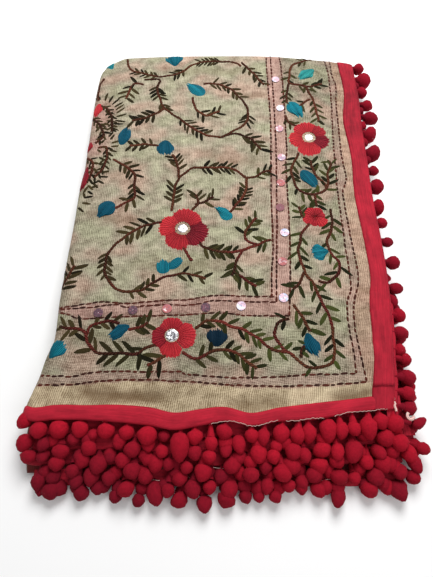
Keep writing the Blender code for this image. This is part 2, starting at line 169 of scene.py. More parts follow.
# Front rows from the top: X, Y, half-width, half-length
FRONT_POMPOMS = (
    ((-125, -155, 4.3, 5.2), (-115, -161, 5.0, 4.7), (-103, -160, 5.6, 5.6),
     (-90, -160, 5.0, 5.2), (-74, -161, 5.2, 4.7), (-61, -162, 4.7, 4.3), (-48, -164, 5.8, 5.6),
     (-28, -171, 5.3, 8.5), (-19, -165, 4.7, 4.3), (-9, -169, 3.8, 4.7), (-1, -162, 5.0, 4.3),
     (16, -164, 4.1, 4.0), (23, -165, 3.8, 5.0), (34, -163, 5.0, 5.5), (44, -164, 4.6, 5.0),
     (51, -163, 4.1, 5.5), (63, -161, 5.0, 6.9), (71, -161, 3.9, 5.0), (79, -160, 4.1, 4.3),
     (88, -160, 5.0, 6.9), (96, -156, 4.6, 4.6), (105, -157, 5.5, 5.1)),
    ((-124, -168, 4.7, 5.2), (-112, -169, 3.9, 4.2), (-101, -173, 5.1, 4.2),
     (-94, -166, 3.9, 3.9), (-84, -171, 4.7, 4.3), (-82, -163, 3.4, 3.9), (-66, -168, 3.8, 3.8),
     (-57, -172, 5.1, 4.5), (-39, -173, 3.8, 3.8), (-38, -164, 3.7, 3.7), (-19, -174, 4.3, 4.3),
     (-10, -176, 4.1, 3.8), (0, -172, 3.8, 5.0), (8, -169, 4.1, 5.5), (20, -174, 5.0, 5.9),
     (29, -176, 4.1, 4.1), (31, -170, 3.8, 3.6), (41, -173, 5.0, 5.0), (48, -175, 3.8, 4.5),
     (59, -172, 5.4, 4.4), (68, -173, 3.8, 5.4), (78, -173, 5.2, 6.8), (99, -165, 5.5, 5.0),
     (107, -168, 5.0, 5.0)),
    ((-121, -176, 4.7, 4.0), (-112, -176, 3.8, 3.9), (-103, -180, 4.7, 4.0),
     (-93, -184, 4.0, 4.0), (-88, -178, 4.9, 4.7), (-78, -180, 5.3, 5.6), (-71, -176, 3.6, 3.6),
     (-63, -178, 4.7, 4.7), (-57, -184, 5.1, 4.7), (-48, -177, 3.9, 3.9), (-43, -180, 4.7, 5.1),
     (-35, -180, 3.6, 3.8), (-24, -182, 3.8, 3.8), (-14, -185, 5.1, 5.1), (4, -181, 5.2, 4.5),
     (15, -186, 4.9, 4.3), (15, -179, 4.1, 3.8), (24, -182, 3.8, 3.8), (34, -185, 4.9, 5.8),
     (40, -181, 5.4, 5.0), (57, -181, 5.4, 4.5), (68, -178, 4.5, 4.3), (86, -179, 4.1, 4.3),
     (94, -173, 4.1, 5.9), (96, -180, 5.0, 5.0), (113, -174, 4.6, 5.5), (122, -171, 3.7, 4.3)),
    ((-114, -190, 4.0, 5.1), (-105, -187, 4.7, 4.0), (-91, -190, 4.0, 3.8),
     (-82, -187, 4.7, 5.6), (-71, -188, 4.3, 4.0), (-60, -194, 5.1, 4.3), (-49, -187, 4.7, 4.3),
     (-35, -195, 3.8, 3.9), (-28, -188, 4.7, 4.7), (-20, -194, 4.6, 5.5), (-10, -193, 4.0, 3.9),
     (-3, -187, 4.5, 4.3), (2, -194, 4.9, 5.8), (25, -192, 3.8, 4.9), (38, -192, 4.0, 3.7),
     (46, -190, 3.8, 4.0), (54, -186, 5.4, 4.4), (69, -187, 5.4, 4.4), (78, -188, 3.8, 3.7),
     (91, -187, 5.4, 5.0), (101, -180, 4.6, 4.6), (106, -184, 4.6, 5.0),
     (116, -179, 4.1, 6.4)),
    ((-106, -195, 5.5, 4.7), (-88, -196, 4.7, 4.3), (-78, -193, 4.3, 4.3), (-67, -198, 3.8, 3.8),
     (-53, -200, 3.7, 3.7), (-43, -196, 5.1, 7.7), (-28, -200, 5.1, 4.4), (-13, -202, 4.5, 4.9),
     (0, -200, 5.4, 4.2), (12, -198, 3.8, 3.8), (20, -198, 3.4, 3.4), (30, -198, 3.8, 3.8),
     (46, -192, 3.8, 4.5), (56, -194, 4.1, 5.0), (68, -198, 4.0, 6.7), (87, -194, 5.0, 4.7),
     (96, -191, 4.1, 4.0), (105, -195, 5.0, 5.9), (115, -187, 4.2, 4.4)),
)
# The long edge's top row: Y, X, half-length, half-width
SIDE_POMPOMS = (
    (156, 123, 4.6, 4.6), (142, 125.5, 6.2, 6.4), (127, 122.5, 4.4, 4.8), (112, 125, 5.0, 4.4),
    (97, 125.5, 6.2, 5.2), (78, 122, 5.2, 6.6), (58, 121.5, 5.6, 7.0), (41, 120.5, 4.2, 3.8),
    (24, 120.5, 4.8, 5.6), (4, 118.5, 4.2, 6.2), (-10, 119.5, 5.2, 3.9), (-27, 121, 5.0, 3.6),
    (-45, 122, 4.9, 4.7), (-65, 120.5, 5.0, 4.0), (-75, 116.5, 3.6, 4.6), (-85, 119.5, 4.6, 4.9),
    (-98, 118.5, 5.9, 4.2), (-110, 115.5, 3.8, 4.0), (-116, 118.5, 3.9, 4.0),
    (-128, 118, 5.0, 5.0), (-138, 116.5, 4.9, 4.3), (-147, 116, 4.4, 4.0),
    (-156, 121.5, 5.0, 3.0),
    (134, 117.5, 3.6, 3.8), (104.5, 117.5, 3.6, 3.8), (88, 117, 3.6, 4.2), (70, 116.5, 3.6, 3.8),
    (51, 116, 3.4, 3.6),
)
SIDE_PITCH = 15.5
LOWER_SIDE_ROWS = ((1, 9.4, 9.0, -10, 9), (2, 6.4, 5.6, -11, 9))  # row, braid, middle, numbers
LOWER_SIDE_REACH = 8.5
SIDE_ROW_TOP = (20.3, 17.5)      # height of its braid and of its pompoms
SIDE_FILLERS = ((1, -124, 4.5), (1, -103, 5), (2, -117, 4.5), (2, -139, 5))  # row, y, reach
FILLERS = (0, 11, 12, 12, 19)    # extra pompoms tucked close under each front row's braid
FILLER_REACH = 4.0
FILLER_SPAN = (-119, 114)        # from and to X
FILLER_DROP = 1.3
ROOT_SPAN = (-121, 112)          # where the front pompoms are sewn on, from and to X
POMPOM_GROWTH = 1.1
ROW_LIGHT_AND_SHADE = (1.1, 0.65, 0.3, -0.1, -0.45)   # painted light and shade: the top rows lighter, the lower rows darker
# painted shade: the side pompoms are darker
SIDE_ROW_SHADE = -0.1
SIDE_DULLNESS = 0.5              # and duller towards the back
POMPOM_DETAIL = 2
POMPOM_LUMPS = 0.06
POMPOM_LEAN = 0.45
POMPOM_TINT = 0.6                # how far the tone differs from one pompom to the next
LEAST_HEIGHT = 0.96              # of a pompom's middle, as a part of its half-width
FLOOR_GAP = 0.15
LEFT_ROW_SHADE = 0.85             # painted shade: the front rows are darker towards the left fold
RIGHT_ROW_LIGHT = 0.3                 # and painted light: brighter towards the open corner
LOWER_TAPE_SHADE = -0.1           # painted shade: the lower tapes are a little darker
LOWEST_REACH = 3.0               # how far the lowest tape lies forward of its braid line
# Lower tapes: from and to X or Y, and depth
FRONT_STRIP = (-119, 110, 9)
SIDE_STRIP = (-158, 150, 7)
STRIP_TURN = 6.0                 # a front one turns down round the left fold by this radius
FLAP_REACH = 6.0                 # how far a lower tape's end shows at the front corner
# How many lower tapes there are, and the flat size of what shows of each, in metres
LOWER_TAPES = (("front", ROW_COUNT, (0.0115, 0.221)), ("side", 3, (0.01, 0.31)))
NECK_SIDES = 5


def mix(start, end, share):
    return start + (end - start) * share


def clamp(value):
    return min(1.0, max(0.0, value))


def eased(start, end, value):
    share = clamp((value - start) / (end - start))
    return share * share * (3 - 2 * share)


def chance(number, kind=0):
    """A fixed value from -1 to 1 that differs from one numbered thing to the next."""
    value = math.sin(number * 12.9898 + kind * 78.233) * 43758.5453
    return 2 * (value - math.floor(value)) - 1


def spline(before, start, end, after, share):
    """A smooth curve from start to end, as numbers or vectors."""
    first = (end - before) * 0.5
    last = (after - start) * 0.5
    square, cube = share * share, share ** 3
    return (start * (2 * cube - 3 * square + 1) + first * (cube - 2 * square + share)
            + end * (3 * square - 2 * cube) + last * (cube - square))


def read(table, place):
    """Read a smooth curve given as places and values."""
    last = len(table) - 1
    index = 0
    while index < last - 1 and place > table[index + 1][0]:
        index += 1
    start, end = table[index], table[index + 1]
    before, after = table[max(0, index - 1)], table[min(last, index + 2)]
    share = clamp((place - start[0]) / (end[0] - start[0]))
    return spline(before[1], start[1], end[1], after[1], share)


def walk(points, step):
    """Even places along a smooth line through plan points, each with its direction."""
    ends = [Vector(point) for point in points]
    fine = []
    for index in range(len(ends) - 1):
        before, after = ends[max(0, index - 1)], ends[min(len(ends) - 1, index + 2)]
        fine += [spline(before, ends[index], ends[index + 1], after, part / 8)
                 for part in range(8)]
    fine.append(ends[-1])
    lengths = [0.0]
    for index in range(1, len(fine)):
        lengths.append(lengths[-1] + (fine[index] - fine[index - 1]).length)
    count = max(2, round(lengths[-1] / step))
    places, index = [], 0
    for number in range(count + 1):
        target = lengths[-1] * number / count
        while index < len(fine) - 2 and lengths[index + 1] < target:
            index += 1
        run = fine[index + 1] - fine[index]
        share = clamp((target - lengths[index]) / max(run.length, 1e-6))
        places.append((fine[index] + run * share, run.normalized()))
    return places, lengths[-1]


# ---------------------------------------------------------------- shader graphs

def linear(colour):
    """A display colour, 0 to 255 a channel, as the renderer's linear values."""
    shares = [channel / 255 for channel in colour]
    return (*[share / 12.92 if share <= 0.04045 else ((share + 0.055) / 1.055) ** 2.4
              for share in shares], 1.0)


class Value:
    """A shader value that ordinary arithmetic acts on."""

    def __init__(self, graph, socket):
        self.graph = graph
        self.socket = socket

    def maths(self, operation, *others):
        return self.graph.maths(operation, self, *others)

    def __add__(self, other):
        return self.maths("ADD", other)

    def __sub__(self, other):
        return self.maths("SUBTRACT", other)

    def __rsub__(self, other):
        return self.graph.maths("SUBTRACT", other, self)

    def __mul__(self, other):
        return self.maths("MULTIPLY", other)

    __radd__ = __add__
    __rmul__ = __mul__

    def sine(self):
        return self.maths("SINE")

    def clamped(self):
        return self.maths("MINIMUM", 1.0).maths("MAXIMUM", 0.0)

    def above(self, low, high):
        """0 below low, 1 above high, smooth between."""
        return self.graph.add("MapRange", {0: self, 1: low, 2: high, 3: 0.0, 4: 1.0},
                              interpolation_type="SMOOTHSTEP")


class Graph:
    """One procedural material."""

    def __init__(self, name):
        self.material = bpy.data.materials.new(name)
        self.material.use_nodes = True
        self.tree = self.material.node_tree
        self.tree.nodes.clear()

    def feed(self, socket, value):
        if isinstance(value, Value):
            self.tree.links.new(value.socket, socket)
        else:
            socket.default_value = value

    def add(self, kind, sockets=None, out=0, **settings):
        """Add any node: its type, its settings, what goes into its sockets, and its output."""
        made = self.tree.nodes.new("ShaderNode" + kind)
        for name, value in settings.items():
            setattr(made, name, value)
        for name, value in (sockets or {}).items():
            self.feed(made.inputs[name], value)
        return Value(self, made.outputs[out])

    def maths(self, operation, *values):
        return self.add("Math", dict(enumerate(values)), operation=operation)

    def blend(self, factor, first, second):
        """Two colours mixed by a factor."""
        return self.add("Mix", {0: factor, 6: first, 7: second}, out=2, data_type="RGBA")

    def dyed(self, shade, dye):
        """From the dark to the light of a dye."""
        dark, light = dye
        return self.blend(shade, linear(dark), linear(light))

    def scaled(self, vector, factors):
        return self.add("VectorMath", {0: vector, 1: factors}, operation="MULTIPLY")

    def noise(self, vector, factors=(1, 1, 1), detail=2.0, rough=0.5):
        """Noise whose patches are about 1 / factors wide."""
        return self.add("TexNoise", {"Vector": self.scaled(vector, factors), "Scale": 1.0,
                                     "Detail": detail, "Roughness": rough})

    def flat(self):
        """The place on the piece's own cut, in millimetres."""
        return self.add("UVMap", uv_map="Flat")

    def solid(self):
        """The place in the object, in millimetres."""
        return self.scaled(self.add("TexCoord", out="Object"), (1 / MM,) * 3)

    def parts(self, vector):
        split = self.add("SeparateXYZ", {0: vector})
        return [Value(self, output) for output in split.socket.node.outputs]

    def tone(self, name="tone"):
        return self.add("Attribute", out="Fac", attribute_name=name)

    def finish(self, colour, roughness, height=None, depth=0.0, **constants):
        """The surface: varying colour, roughness and height in millimetres; the rest constant."""
        surface = self.add("BsdfPrincipled", {"Base Color": colour, "Roughness": roughness})
        shader = surface.socket.node
        for name, value in constants.items():
            shader.inputs[name.replace("_", " ")].default_value = value
        if height is not None:
            bump = self.add("Bump", {"Height": height, "Distance": depth * MM, "Strength": 1.0})
            self.tree.links.new(bump.socket, shader.inputs["Normal"])
        output = self.tree.nodes.new("ShaderNodeOutputMaterial")
        self.tree.links.new(surface.socket, output.inputs["Surface"])
        return self.material


TURN = 2 * math.pi

# Dyes: the dark and the light display colour of each, 0 to 255 a channel
GAUZE = ((88, 77, 60), (217, 205, 180))
GREEN_GAUZE = ((92, 92, 66), (214, 216, 178))
PINK_GAUZE = ((110, 78, 62), (236, 204, 182))
BAND_GAUZE = ((112, 74, 66), (232, 190, 176))
HEM_GAUZE = ((124, 100, 70), (242, 219, 180))
EDGE_GAUZE = ((112, 80, 64), (230, 190, 164))
RED_OR_BLUE_WORK = ((150, 30, 45), (22, 110, 140))
TAPE_DYE = ((108, 8, 26), (220, 38, 62))
# the felt's dark and bright ends carry both each pompom's dye and the painted light and shade of
# its row
DARK_DYE_AND_SHADE_FELT = ((80, 9, 24), (138, 20, 38))
BRIGHT_DYE_AND_LIGHT_FELT = ((128, 12, 28), (196, 26, 48))
BROWN_STEM = ((36, 16, 8), (104, 57, 36))
RED_STEM = ((54, 13, 14), (132, 50, 44))
BROWN_LEAF = ((16, 13, 3), (80, 67, 38))
GREEN_LEAF = ((14, 17, 5), (82, 93, 42))
BUD_BLUES = ((4, 34, 50), (10, 88, 110))
RUNNING_THREAD = ((36, 12, 4), (104, 42, 26))
RED_THREAD = ((112, 6, 32), (232, 56, 64))
MIRROR_THREAD = ((66, 40, 40), (224, 200, 172))
SEQUIN_THREAD = ((206, 190, 200), (240, 230, 236))
RAW_THREAD = ((250, 190, 178), (255, 238, 230))
MIRROR_GLASS = ((104, 100, 106), (248, 250, 252))
MAUVE_SEQUIN = ((76, 54, 66), (178, 100, 98))
# painted reflections: the pink and blue patches on the silver sequins
SILVER_WITH_PAINTED_REFLECTIONS = ((236, 196, 208), (196, 210, 236))
WORN_SEQUIN = ((142, 90, 104), (160, 150, 176))
FLOOR_PAINT = ((246, 246, 246), (250, 250, 250))
# and single colours
# painted shade: the brown that crease troughs and the gaps between folds are darkened towards
PAINTED_CREASE_BROWN = (104, 80, 54)
# painted shade: the olive that shaded areas of the cloth are darkened towards
PAINTED_SHADE_OLIVE = (60, 56, 46)
WORK_GREEN = (45, 55, 30)
# painted shade: the dark crimson of the hidden folds' front between the pompoms
PAINTED_GAP_SHADE = (104, 14, 26)
BUD_SHADOW = (0, 28, 48)
BUD_TURQUOISE = (22, 138, 154)
BUD_TEAL = (56, 166, 160)
# painted highlight: the glints on the sequins
PAINTED_SEQUIN_GLINT = (244, 232, 232)
FELT_SHEEN = (200, 60, 80)

# Noises: patches in each millimetre by direction, then detail and roughness
THREAD_DRIFT = ((0.09, 0.09, 1),)
SLUBS = ((1.3, 0.09, 1), 3.0)
PICKS = ((0.09, 1.5, 1), 3.0)
GRAIN = ((0.75, 0.75, 1), 3.0, 0.75)
MOTTLE = ((0.13, 0.17, 1), 2.0, 0.6)
TINT_PATCHES = ((1 / 30, 1 / 24, 1), 1.6, 0.5)
WORK_SPOTS = ((0.11, 0.11, 0.5), 1.0)
WORK_KINDS = ((0.05, 0.05, 0.3), 0.0)
TAPE_RIB_DRIFT = ((0.3, 0.3, 1),)
TAPE_CORD_DRIFT = ((0.2, 0.2, 1),)
TAPE_STREAKS = ((0.05, 1.1, 1), 3.0, 0.6)
TAPE_WEAR = ((1 / 16, 1 / 9, 1), 3.0, 0.6)
MATTED_WOOL = ((0.5, 0.5, 0.5), 4.0, 0.7)
WOOL_FIBRES = ((2.6, 2.6, 2.6), 3.0, 0.8)
STRAY_STRANDS = ((0.25, 1.2, 1),)
STRAND_FIBRES = ((0.5, 5.0, 1), 3.0, 0.7)
RED_LENGTHS = ((1 / 28, 1 / 28, 1 / 28), 1.0)
LEAF_PATCHES = ((1 / 45, 1 / 45, 1), 1.0)
GLASS_MOTTLE = ((0.7, 0.7, 0.7), 3.0, 0.75)
GLASS_SCRATCHES = ((0.4, 3.0, 1.0), 2.0)
SEQUIN_MOTTLE = ((0.8, 0.8, 0.8), 3.0, 0.7)
# painted reflections and painted glints on the sequins
PAINTED_REFLECTION_PATCHES = ((0.3, 0.3, 0.3), 1.0)
PAINTED_GLINT_SPOTS = ((0.35, 0.35, 0.35), 2.0)
FLOOR_MOTTLE = ((0.002, 0.002, 1),)

# Pitches in millimetres
RIB_PITCH = 1.3
WEFT_PITCH = 1.0
TAPE_RIB_PITCH = 0.55
TAPE_CORD_PITCH = 0.8
ROPE_PITCH = 1.1                 # of the strands in stems and buds
LEAF_STRAND_PITCH = 0.55


def cloth_material(name, seed=0.0, embroidered=False):
    """Thin cotton gauze: an uneven open weave, faintly tinted, with painted shade and light from
    its marks; embroidered folds show work and painted shade between the pompoms.
    """
    graph = Graph(name)
    place = graph.flat()
    across, along, _ = graph.parts(place)
    moved = graph.add("VectorMath", {0: place, 1: (seed, 0, 0)})
    drift = graph.noise(moved, *THREAD_DRIFT)
    ribs = ((across + drift * 3.0) * (TURN / RIB_PITCH)).sine()
    weft = ((along + drift * 2.2) * (TURN / WEFT_PITCH)).sine()
    slubs = graph.noise(place, *SLUBS)
    picks = graph.noise(place, *PICKS)
    grain = graph.noise(place, *GRAIN)
    border = graph.tone("border")
    band = graph.tone("band")
    trough = graph.tone("trough")
    threads = (ribs * (slubs * 0.9 + 0.2) * (border * 0.25 + 0.5)
               + weft * (picks * 0.8 + 0.1) * (0.8 - border * 0.55))
    # painted shade and light marked on the cloth: it darkens and speckles the weave, and negative
    # marks lighten it
    painted_shade = graph.tone("shade")
    shade = (threads * 0.46 + (grain - 0.5) * (painted_shade * 0.35 + 0.85) - painted_shade * 0.06
             + graph.noise(place, *MOTTLE) - 0.085).clamped()
    patches = graph.noise(place, *TINT_PATCHES)
    hem = border.above(0.5, 1.0)
    tints = (
        (patches.above(0.46, 0.64) * (1 - border * 0.7) * (1 - band) * 0.6, GREEN_GAUZE),
        ((1 - patches.above(0.34, 0.52)) * (1 - border * 0.5) * 0.75, PINK_GAUZE),
        (band * 0.8, BAND_GAUZE),
        (hem * 0.7, HEM_GAUZE),
        ((border.above(0.0, 0.4) - hem) * 0.7, EDGE_GAUZE),
    )
    colour = graph.dyed(shade, GAUZE)
    for share, dye in tints:
        colour = graph.blend(share, colour, graph.dyed(shade, dye))
    # painted shade: the creases' troughs and the gaps between hidden folds blend towards brown
    colour = graph.blend(trough * (border * 0.3 + 0.45), colour, linear(PAINTED_CREASE_BROWN))
    # painted shade: shaded areas blend towards a dark olive
    colour = graph.blend(painted_shade * 0.13, colour, linear(PAINTED_SHADE_OLIVE))
    if embroidered:
        solid = graph.solid()
        kinds = graph.noise(solid, *WORK_KINDS)
        bright = graph.dyed(kinds.above(0.56, 0.6), RED_OR_BLUE_WORK)
        work = graph.blend(kinds.above(0.42, 0.46), linear(WORK_GREEN), bright)
        spots = graph.noise(solid, *WORK_SPOTS).above(0.66, 0.69)
        colour = graph.blend(spots, colour, work)
        # painted shade: the hidden folds' front face, seen between the pompoms, is darkened to
        # crimson
        colour = graph.blend(painted_shade * 0.85, colour, linear(PAINTED_GAP_SHADE))
    return graph.finish(colour, grain * 0.15 + 0.82, threads + grain * 1.6, 0.22,
                        Specular_IOR_Level=0.15)


def tape_material():
    """Crimson woven tape: fine ribs across it, streaks along it, worn darker in places."""
    graph = Graph("Crimson tape")
    place = graph.flat()
    along, across, _ = graph.parts(place)
    ribs = (along * (TURN / TAPE_RIB_PITCH) + graph.noise(place, *TAPE_RIB_DRIFT) * 4.0).sine()
    cords = (across * (TURN / TAPE_CORD_PITCH)
             + graph.noise(place, *TAPE_CORD_DRIFT) * 3.0).sine()
    streaks = graph.noise(place, *TAPE_STREAKS)
    shade = (ribs * 0.07 + cords * 0.06 + streaks * 0.7 + graph.noise(place, *TAPE_WEAR) * 0.9
             - 0.3 + graph.tone() * 0.8).clamped()
    return graph.finish(graph.dyed(shade, TAPE_DYE), 0.8 - streaks * 0.12,
                        ribs * 0.5 + cords * 0.4 + streaks, 0.08, Specular_IOR_Level=0.2)


def felt_material():
    """Soft wool felt: matted fibres, fuzzy outline sheen, each pompom a little different, with
    painted light and shade by its tone.
    """
    graph = Graph("Felt pompom")
    solid = graph.solid()
    matted = graph.noise(solid, *MATTED_WOOL)
    fibres = graph.noise(solid, *WOOL_FIBRES)
    shade = (matted * 0.9 + fibres * 0.4 - 0.15).clamped()
    # the tone mixes each pompom's own dye with painted light and shade by row and place
    colour = graph.blend((graph.tone() * 0.5 + 0.5).clamped(), graph.dyed(shade, DARK_DYE_AND_SHADE_FELT),
                         graph.dyed(shade, BRIGHT_DYE_AND_LIGHT_FELT))
    return graph.finish(colour, 0.95, matted * 1.2 + fibres * 0.6, 0.35,
                        Sheen_Weight=0.1, Sheen_Roughness=0.45, Specular_IOR_Level=0.1,
                        Sheen_Tint=linear(FELT_SHEEN))


def strands(graph, pitch, twist=0.0, depth=0.55):
    """Stranded thread lying side by side: light and dark, relief, and the fibres' gloss."""
    place = graph.flat()
    along, across, _ = graph.parts(place)
    stray = graph.noise(place, *STRAY_STRANDS) * 2.5
    waves = ((across + along * twist) * (TURN / pitch) + stray).sine()
    fibres = graph.noise(place, *STRAND_FIBRES)
    return waves * 0.2 + fibres * depth, waves + fibres * 0.5, fibres * 0.15


def toned(graph, shade, spread=0.36, lift=0.16):
    """The tone differs from stitch to stitch."""
    return (shade + graph.tone() * spread + lift).clamped()


def thread_material(name, dye, pitch):
    """Stranded embroidery thread of one dye."""
    graph = Graph(name)
    shade, rise, gloss = strands(graph, pitch)
    return graph.finish(graph.dyed(toned(graph, shade), dye), gloss + 0.55, rise, pitch * 0.3,
                        Specular_IOR_Level=0.2)


def stem_material():
    """Maroon thread, redder in some lengths than in others."""
    graph = Graph("Maroon stem thread")
    shade, rise, gloss = strands(graph, ROPE_PITCH, twist=0.5)
    shade = toned(graph, shade)
    solid = graph.solid()
    _, y, _ = graph.parts(solid)
    nearer = ((30 - y) * 0.016).clamped() * 0.6 + 0.15
    reds = graph.noise(solid, *RED_LENGTHS).above(0.48, 0.6) * nearer
    colour = graph.blend(reds, graph.dyed(shade, BROWN_STEM), graph.dyed(shade, RED_STEM))
    return graph.finish(colour, gloss + 0.6, rise, 0.33, Specular_IOR_Level=0.12)


def leaf_material():
    """Dark thread: brown olive over most of the shawl, greener towards the front corner."""
    graph = Graph("Dark leaf thread")
    shade, rise, gloss = strands(graph, LEAF_STRAND_PITCH)
    shade = toned(graph, shade, spread=0.46, lift=0.12)
    place = graph.flat()
    x, y, _ = graph.parts(place)
    green = ((x - y * 0.5) * 0.006 + graph.noise(place, *LEAF_PATCHES) * 0.9 - 0.28).clamped()
    colour = graph.blend(green, graph.dyed(shade, BROWN_LEAF), graph.dyed(shade, GREEN_LEAF))
    return graph.finish(colour, gloss + 0.6, rise, 0.16, Specular_IOR_Level=0.1)


def bud_material():
    """Glossy thread from navy through blue to teal, by the bud's tone."""
    graph = Graph("Blue thread")
    shade, rise, gloss = strands(graph, ROPE_PITCH, depth=0.75)
    hue = graph.tone()
    colour = graph.dyed(hue.above(-1.0, -0.3), BUD_BLUES)
    colour = graph.blend(hue.above(-0.1, 0.5), colour, linear(BUD_TURQUOISE))
    colour = graph.blend(hue.above(0.6, 1.0), colour, linear(BUD_TEAL))
    darker = graph.blend((shade - 0.05).clamped(), linear(BUD_SHADOW), colour)
    colour = graph.blend((shade * 1.6).clamped(), darker, colour)
    return graph.finish(colour, gloss + 0.55, rise, 0.2, Specular_IOR_Level=0.12)


def mirror_material():
    """Small hand-cut mirrors: bright, mottled and a little scratched."""
    graph = Graph("Small mirror")
    solid = graph.solid()
    mottle = graph.noise(solid, *GLASS_MOTTLE)
    scratches = graph.noise(solid, *GLASS_SCRATCHES)
    return graph.finish(graph.dyed(mottle.above(0.46, 0.6), MIRROR_GLASS), mottle * 0.3 + 0.12,
                        mottle * 1.5 + scratches * 0.3, 0.1, Metallic=0.7,
                        Specular_IOR_Level=0.6)


def sequin_material():
    """Sequins from silver to mauve, worn and a little dull, with painted pink and blue reflections
    and painted glints.
    """
    graph = Graph("Sequin")
    tone = graph.tone()
    solid = graph.solid()
    mottle = graph.noise(solid, *SEQUIN_MOTTLE)
    # painted reflections: pink and blue patches on the silver
    painted_silver_reflections = graph.dyed(graph.noise(solid, *PAINTED_REFLECTION_PATCHES).above(0.42, 0.58), SILVER_WITH_PAINTED_REFLECTIONS)
    colour = graph.blend(tone.above(0.1, 0.9),
                         graph.dyed(tone.above(-0.9, -0.1), MAUVE_SEQUIN), painted_silver_reflections)
    worn = graph.dyed(tone.above(0.0, 0.6), WORN_SEQUIN)
    colour = graph.blend(mottle.above(0.46, 0.62) * 0.7, colour, worn)
    # painted highlights: small bright glints, left off the darkest sequins
    painted_glints = graph.noise(solid, *PAINTED_GLINT_SPOTS).above(0.56, 0.6)
    colour = graph.blend(painted_glints * tone.above(-0.5, 0.2) * 0.8, colour, linear(PAINTED_SEQUIN_GLINT))
    return graph.finish(colour, mottle * 0.4 + 0.4, mottle, 0.12, Metallic=0.1,
                        Specular_IOR_Level=0.3)


def floor_material():
    graph = Graph("Pale floor")
    shade = graph.noise(graph.solid(), *FLOOR_MOTTLE)
    return graph.finish(graph.dyed(shade, FLOOR_PAINT), 0.9, Specular_IOR_Level=0.0)


# ---------------------------------------------------------------- making pieces

def grid(bm, columns, rows, place, cut=None, tone=0.0, marks=None):
    """Add a grid of faces; place and cut give a point's position and its place on the flat cut."""
    points = bmesh.ops.create_grid(bm, x_segments=columns, y_segments=rows, size=1.0)["verts"]
    flat = bm.loops.layers.uv["Flat"]
    tones = bm.verts.layers.float["tone"]
    cuts = {}
    for point in points:
        share = ((point.co.x + 1) / 2, (point.co.y + 1) / 2)
        spot = place(*share)
        cuts[point] = cut(*share) if cut else (spot.x, spot.y)
        point[tones] = tone(*share) if callable(tone) else tone
        if marks:
            for name, value in marks(spot).items():
                point[bm.verts.layers.float[name]] = value
        point.co = spot * MM
    for face in {face for point in points for face in point.link_faces}:
        for loop in face.loops:
            loop[flat].uv = cuts[loop.vert]
    return points


def new_mesh():
    bm = bmesh.new()
    bm.loops.layers.uv.new("Flat")
    for name in ("tone", "band", "border", "trough", "shade"):
        bm.verts.layers.float.new(name)
    return bm


def piece(name, bm, material, slot, *nodes):
    """Finish a mesh as a piece that rides on the body and stands for its solids."""
    mesh = bpy.data.meshes.new(name)
    bm.to_mesh(mesh)
    bm.free()
    mesh.materials.append(material)
    mesh.shade_smooth()
    made = bpy.data.objects.new(name, mesh)
    bpy.context.collection.objects.link(made)
    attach(made, "root")
    if nodes:
        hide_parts(*nodes)
    return made


def thicken(made, thickness):
    wall = made.modifiers.new("Wall", "SOLIDIFY")
    wall.thickness = thickness * MM
    wall.offset = -1.0
    return made


# ---------------------------------------------------------------- the shape of the cloth

def plan(from_left, from_back):
    """Plan position of a place given by its nominal distances from the two folds."""
    rough_y = BACK_Y - from_back
    left = read(LEFT_FOLD, rough_y)
    x = left + from_left * (read(LONG_EDGE, rough_y) - left) / NOMINAL_WIDTH
    back = read(BACK_FOLD, x)
    return x, back - from_back * (back - read(FRONT_END, x)) / NOMINAL_DEPTH


def sinking(from_left, from_back):
    to_front = 1 - clamp((NOMINAL_DEPTH - from_back) / FRONT_SLOPE_LENGTH)
    to_side = 1 - clamp((NOMINAL_WIDTH - from_left) / SIDE_SLOPE_LENGTH)
    return FRONT_SLOPE_DROP * to_front ** 2 + SIDE_SLOPE_DROP * to_side ** 2


def relief(x, y):
    """Rise of the cloth's creases at a place."""
    rise = 0.0
    for x0, y0, x1, y1, width, height in CREASES:
        run_x, run_y = x1 - x0, y1 - y0
        length = math.hypot(run_x, run_y)
        share = ((x - x0) * run_x + (y - y0) * run_y) / length ** 2
        aside = ((x - x0) * run_y - (y - y0) * run_x) / length
        aside -= CREASE_BOW * width * math.sin(math.pi * clamp(share))
        if abs(aside) < 3 * width:
            fade = (eased(-CREASE_OVERRUN, CREASE_TAPER, share)
                    * eased(-CREASE_OVERRUN, CREASE_TAPER, 1 - share))
            rise += height * fade * math.exp(-(aside / width) ** 2)
    return rise


def fold_profile(travel):
    """Distance inside a fold line and drop below the flat, by travel from the tucked rim."""
    if travel < TUCK_TRAVEL:
        turn = (1 - travel / TUCK_TRAVEL) * TUCK_TURN
        return TUCK_RADIUS * (1 - math.cos(turn)), FOLD_DROP + TUCK_RADIUS * math.sin(turn)
    travel -= TUCK_TRAVEL
    if travel < ROUND_TRAVEL:
        turn = (1 - travel / ROUND_TRAVEL) * math.pi / 2
        return FOLD_REACH * (1 - math.sin(turn)), FOLD_DROP * (1 - math.cos(turn))
    return FOLD_REACH + travel - ROUND_TRAVEL, 0.0


CORNER_TRAVEL = TUCK_TRAVEL + ROUND_TRAVEL + CORNER_RADIUS - FOLD_REACH
EDGE_TRAVEL = TUCK_TRAVEL + ROUND_TRAVEL - FOLD_REACH


